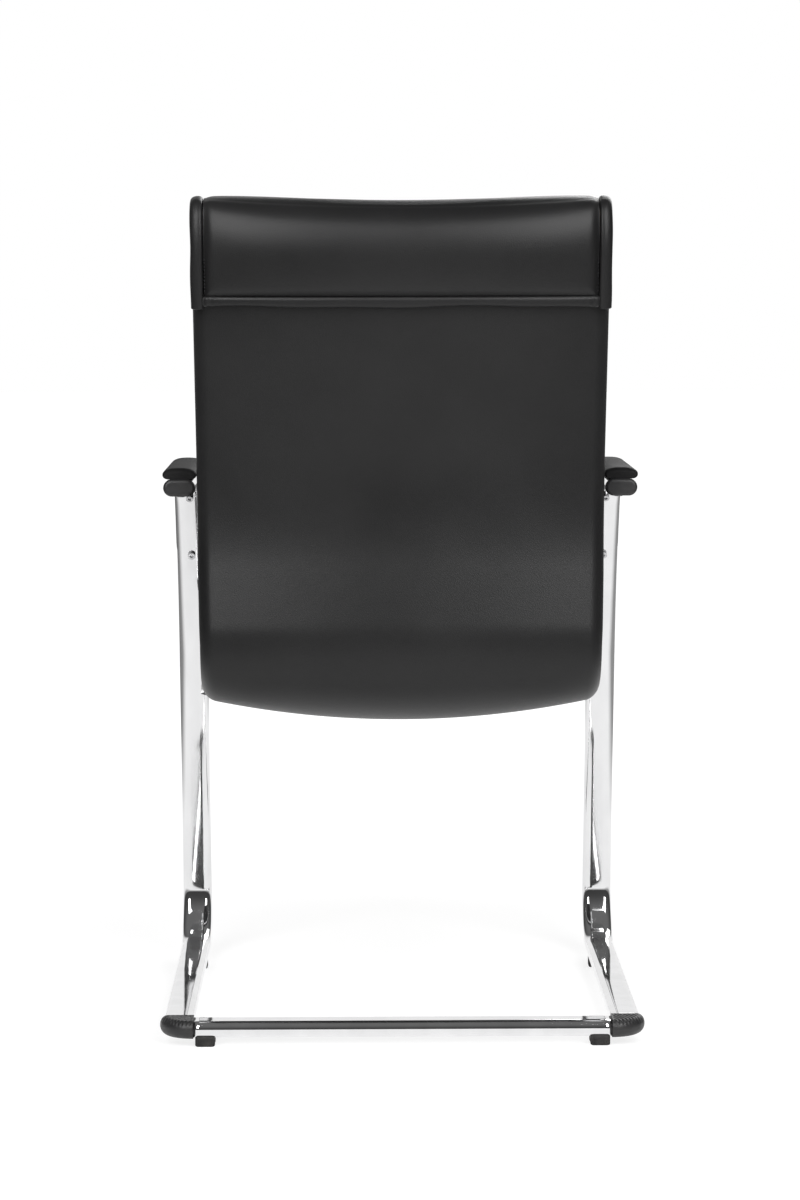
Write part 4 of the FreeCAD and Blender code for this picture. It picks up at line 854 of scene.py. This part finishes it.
# White floor with its shadow: to the camera and in reflections it glows and adds a little of its lit tone. The glow
# rises where the lamps don't reach, and in reflections the paper sweep ends some way from the chair.
def makeFloor():
    half = studio["floor"] / 2
    grid = np.stack(np.meshgrid([-half, half], [-half, half], [studio["floorLevel"]], indexing="ij"), -1)[:, :, 0]
    floor = newPiece("floor", grid, wrap=False, caps=False)
    made = Finish("floor_white")
    path = made.node("ShaderNodeLightPath")
    direct, glossy, clear = (path.outputs[kind] for kind in ("Is Camera Ray", "Is Glossy Ray", "Is Transmission Ray"))
    seen = made.math("MAXIMUM", made.math("MAXIMUM", direct, glossy), clear)
    plain = made.node("ShaderNodeBsdfDiffuse", Color=(*[studio["floorAlbedo"]] * 3, 1))
    tone = made.node("ShaderNodeBsdfDiffuse", Color=(*[studio["floorTone"]] * 3, 1))
    glow = made.node("ShaderNodeEmission")
    away = made.node("ShaderNodeVectorMath", operation="LENGTH")
    made.link(made.object, away.inputs[0])
    level = made.span(away.outputs["Value"], *studio["glow"], *studio["glowFrom"])
    stretched = made.node("ShaderNodeVectorMath", operation="MULTIPLY")
    made.link(made.object, stretched.inputs[0])
    stretched.inputs[1].default_value = studio["sweepScale"]
    reach = made.node("ShaderNodeVectorMath", operation="DISTANCE")
    made.link(stretched.outputs[0], reach.inputs[0])
    reach.inputs[1].default_value = studio["sweepCentre"]
    sweepTone = made.span(reach.outputs["Value"], *studio["sweepTone"], *studio["sweep"])
    made.link(made.math("MULTIPLY", level, made.math("MAXIMUM", sweepTone, direct)), glow.inputs["Strength"])
    both = made.node("ShaderNodeAddShader")
    made.link(tone.outputs[0], both.inputs[0])
    made.link(glow.outputs[0], both.inputs[1])
    mix = made.node("ShaderNodeMixShader")
    made.link(seen, mix.inputs[0])
    made.link(plain.outputs[0], mix.inputs[1])
    made.link(both.outputs[0], mix.inputs[2])
    made.tree.nodes.remove(made.shader)
    made.link(mix.outputs[0], made.tree.nodes["Material Output"].inputs["Surface"])
    floor.data.materials.append(made.material)


# Rectangular lamp at a place, turned so that it shines at aim.
def makeSoftbox(name, place, aim, size, power):
    data = bpy.data.lights.new(name, "AREA")
    data.shape = "RECTANGLE"
    data.size, data.size_y = size
    data.energy = power
    lamp = bpy.data.objects.new(name, data)
    back = unit(np.array(place) - np.array(aim))
    right = unit(np.cross([0, 0, 1], back))
    lamp.matrix_world = matrixOf([right, np.cross(back, right), back], place)
    scene.collection.objects.link(lamp)


# White to the camera. Other rays see a dark studio with a bright backdrop before the chair, and a dim ceiling.
def makeWorld():
    world = bpy.data.worlds.new("studio")
    scene.world = world
    world.use_nodes = True
    tree = world.node_tree
    new = tree.nodes.new
    coords, split = new("ShaderNodeTexCoord"), new("ShaderNodeSeparateXYZ")
    tree.links.new(coords.outputs["Generated"], split.inputs[0])
    ceiling, backdrop = new("ShaderNodeMapRange"), new("ShaderNodeMapRange")
    for made, axis, numbers in ((ceiling, "Z", studio["ceiling"]), (backdrop, "Y", studio["backdrop"])):
        made.interpolation_type = "SMOOTHSTEP"
        for key, number in zip(("From Min", "From Max", "To Min", "To Max"), numbers):
            made.inputs[key].default_value = number
        tree.links.new(split.outputs[axis], made.inputs["Value"])
    brighter = new("ShaderNodeMath")
    brighter.operation = "MAXIMUM"
    tree.links.new(ceiling.outputs["Result"], brighter.inputs[0])
    tree.links.new(backdrop.outputs["Result"], brighter.inputs[1])
    lit, white, mix = new("ShaderNodeBackground"), new("ShaderNodeBackground"), new("ShaderNodeMixShader")
    tree.links.new(brighter.outputs[0], lit.inputs["Strength"])
    lit.inputs["Color"].default_value = (1, 1, 1, 1)
    white.inputs["Color"].default_value = (1, 1, 1, 1)
    path = new("ShaderNodeLightPath")
    tree.links.new(path.outputs["Is Camera Ray"], mix.inputs[0])
    tree.links.new(lit.outputs[0], mix.inputs[1])
    tree.links.new(white.outputs[0], mix.inputs[2])
    output = tree.nodes.get("World Output") or new("ShaderNodeOutputWorld")
    tree.links.new(mix.outputs[0], output.inputs["Surface"])


makeFloor()
for lampName, lamp in softboxes.items():
    makeSoftbox(lampName, **lamp)
makeWorld()
print("studio made")
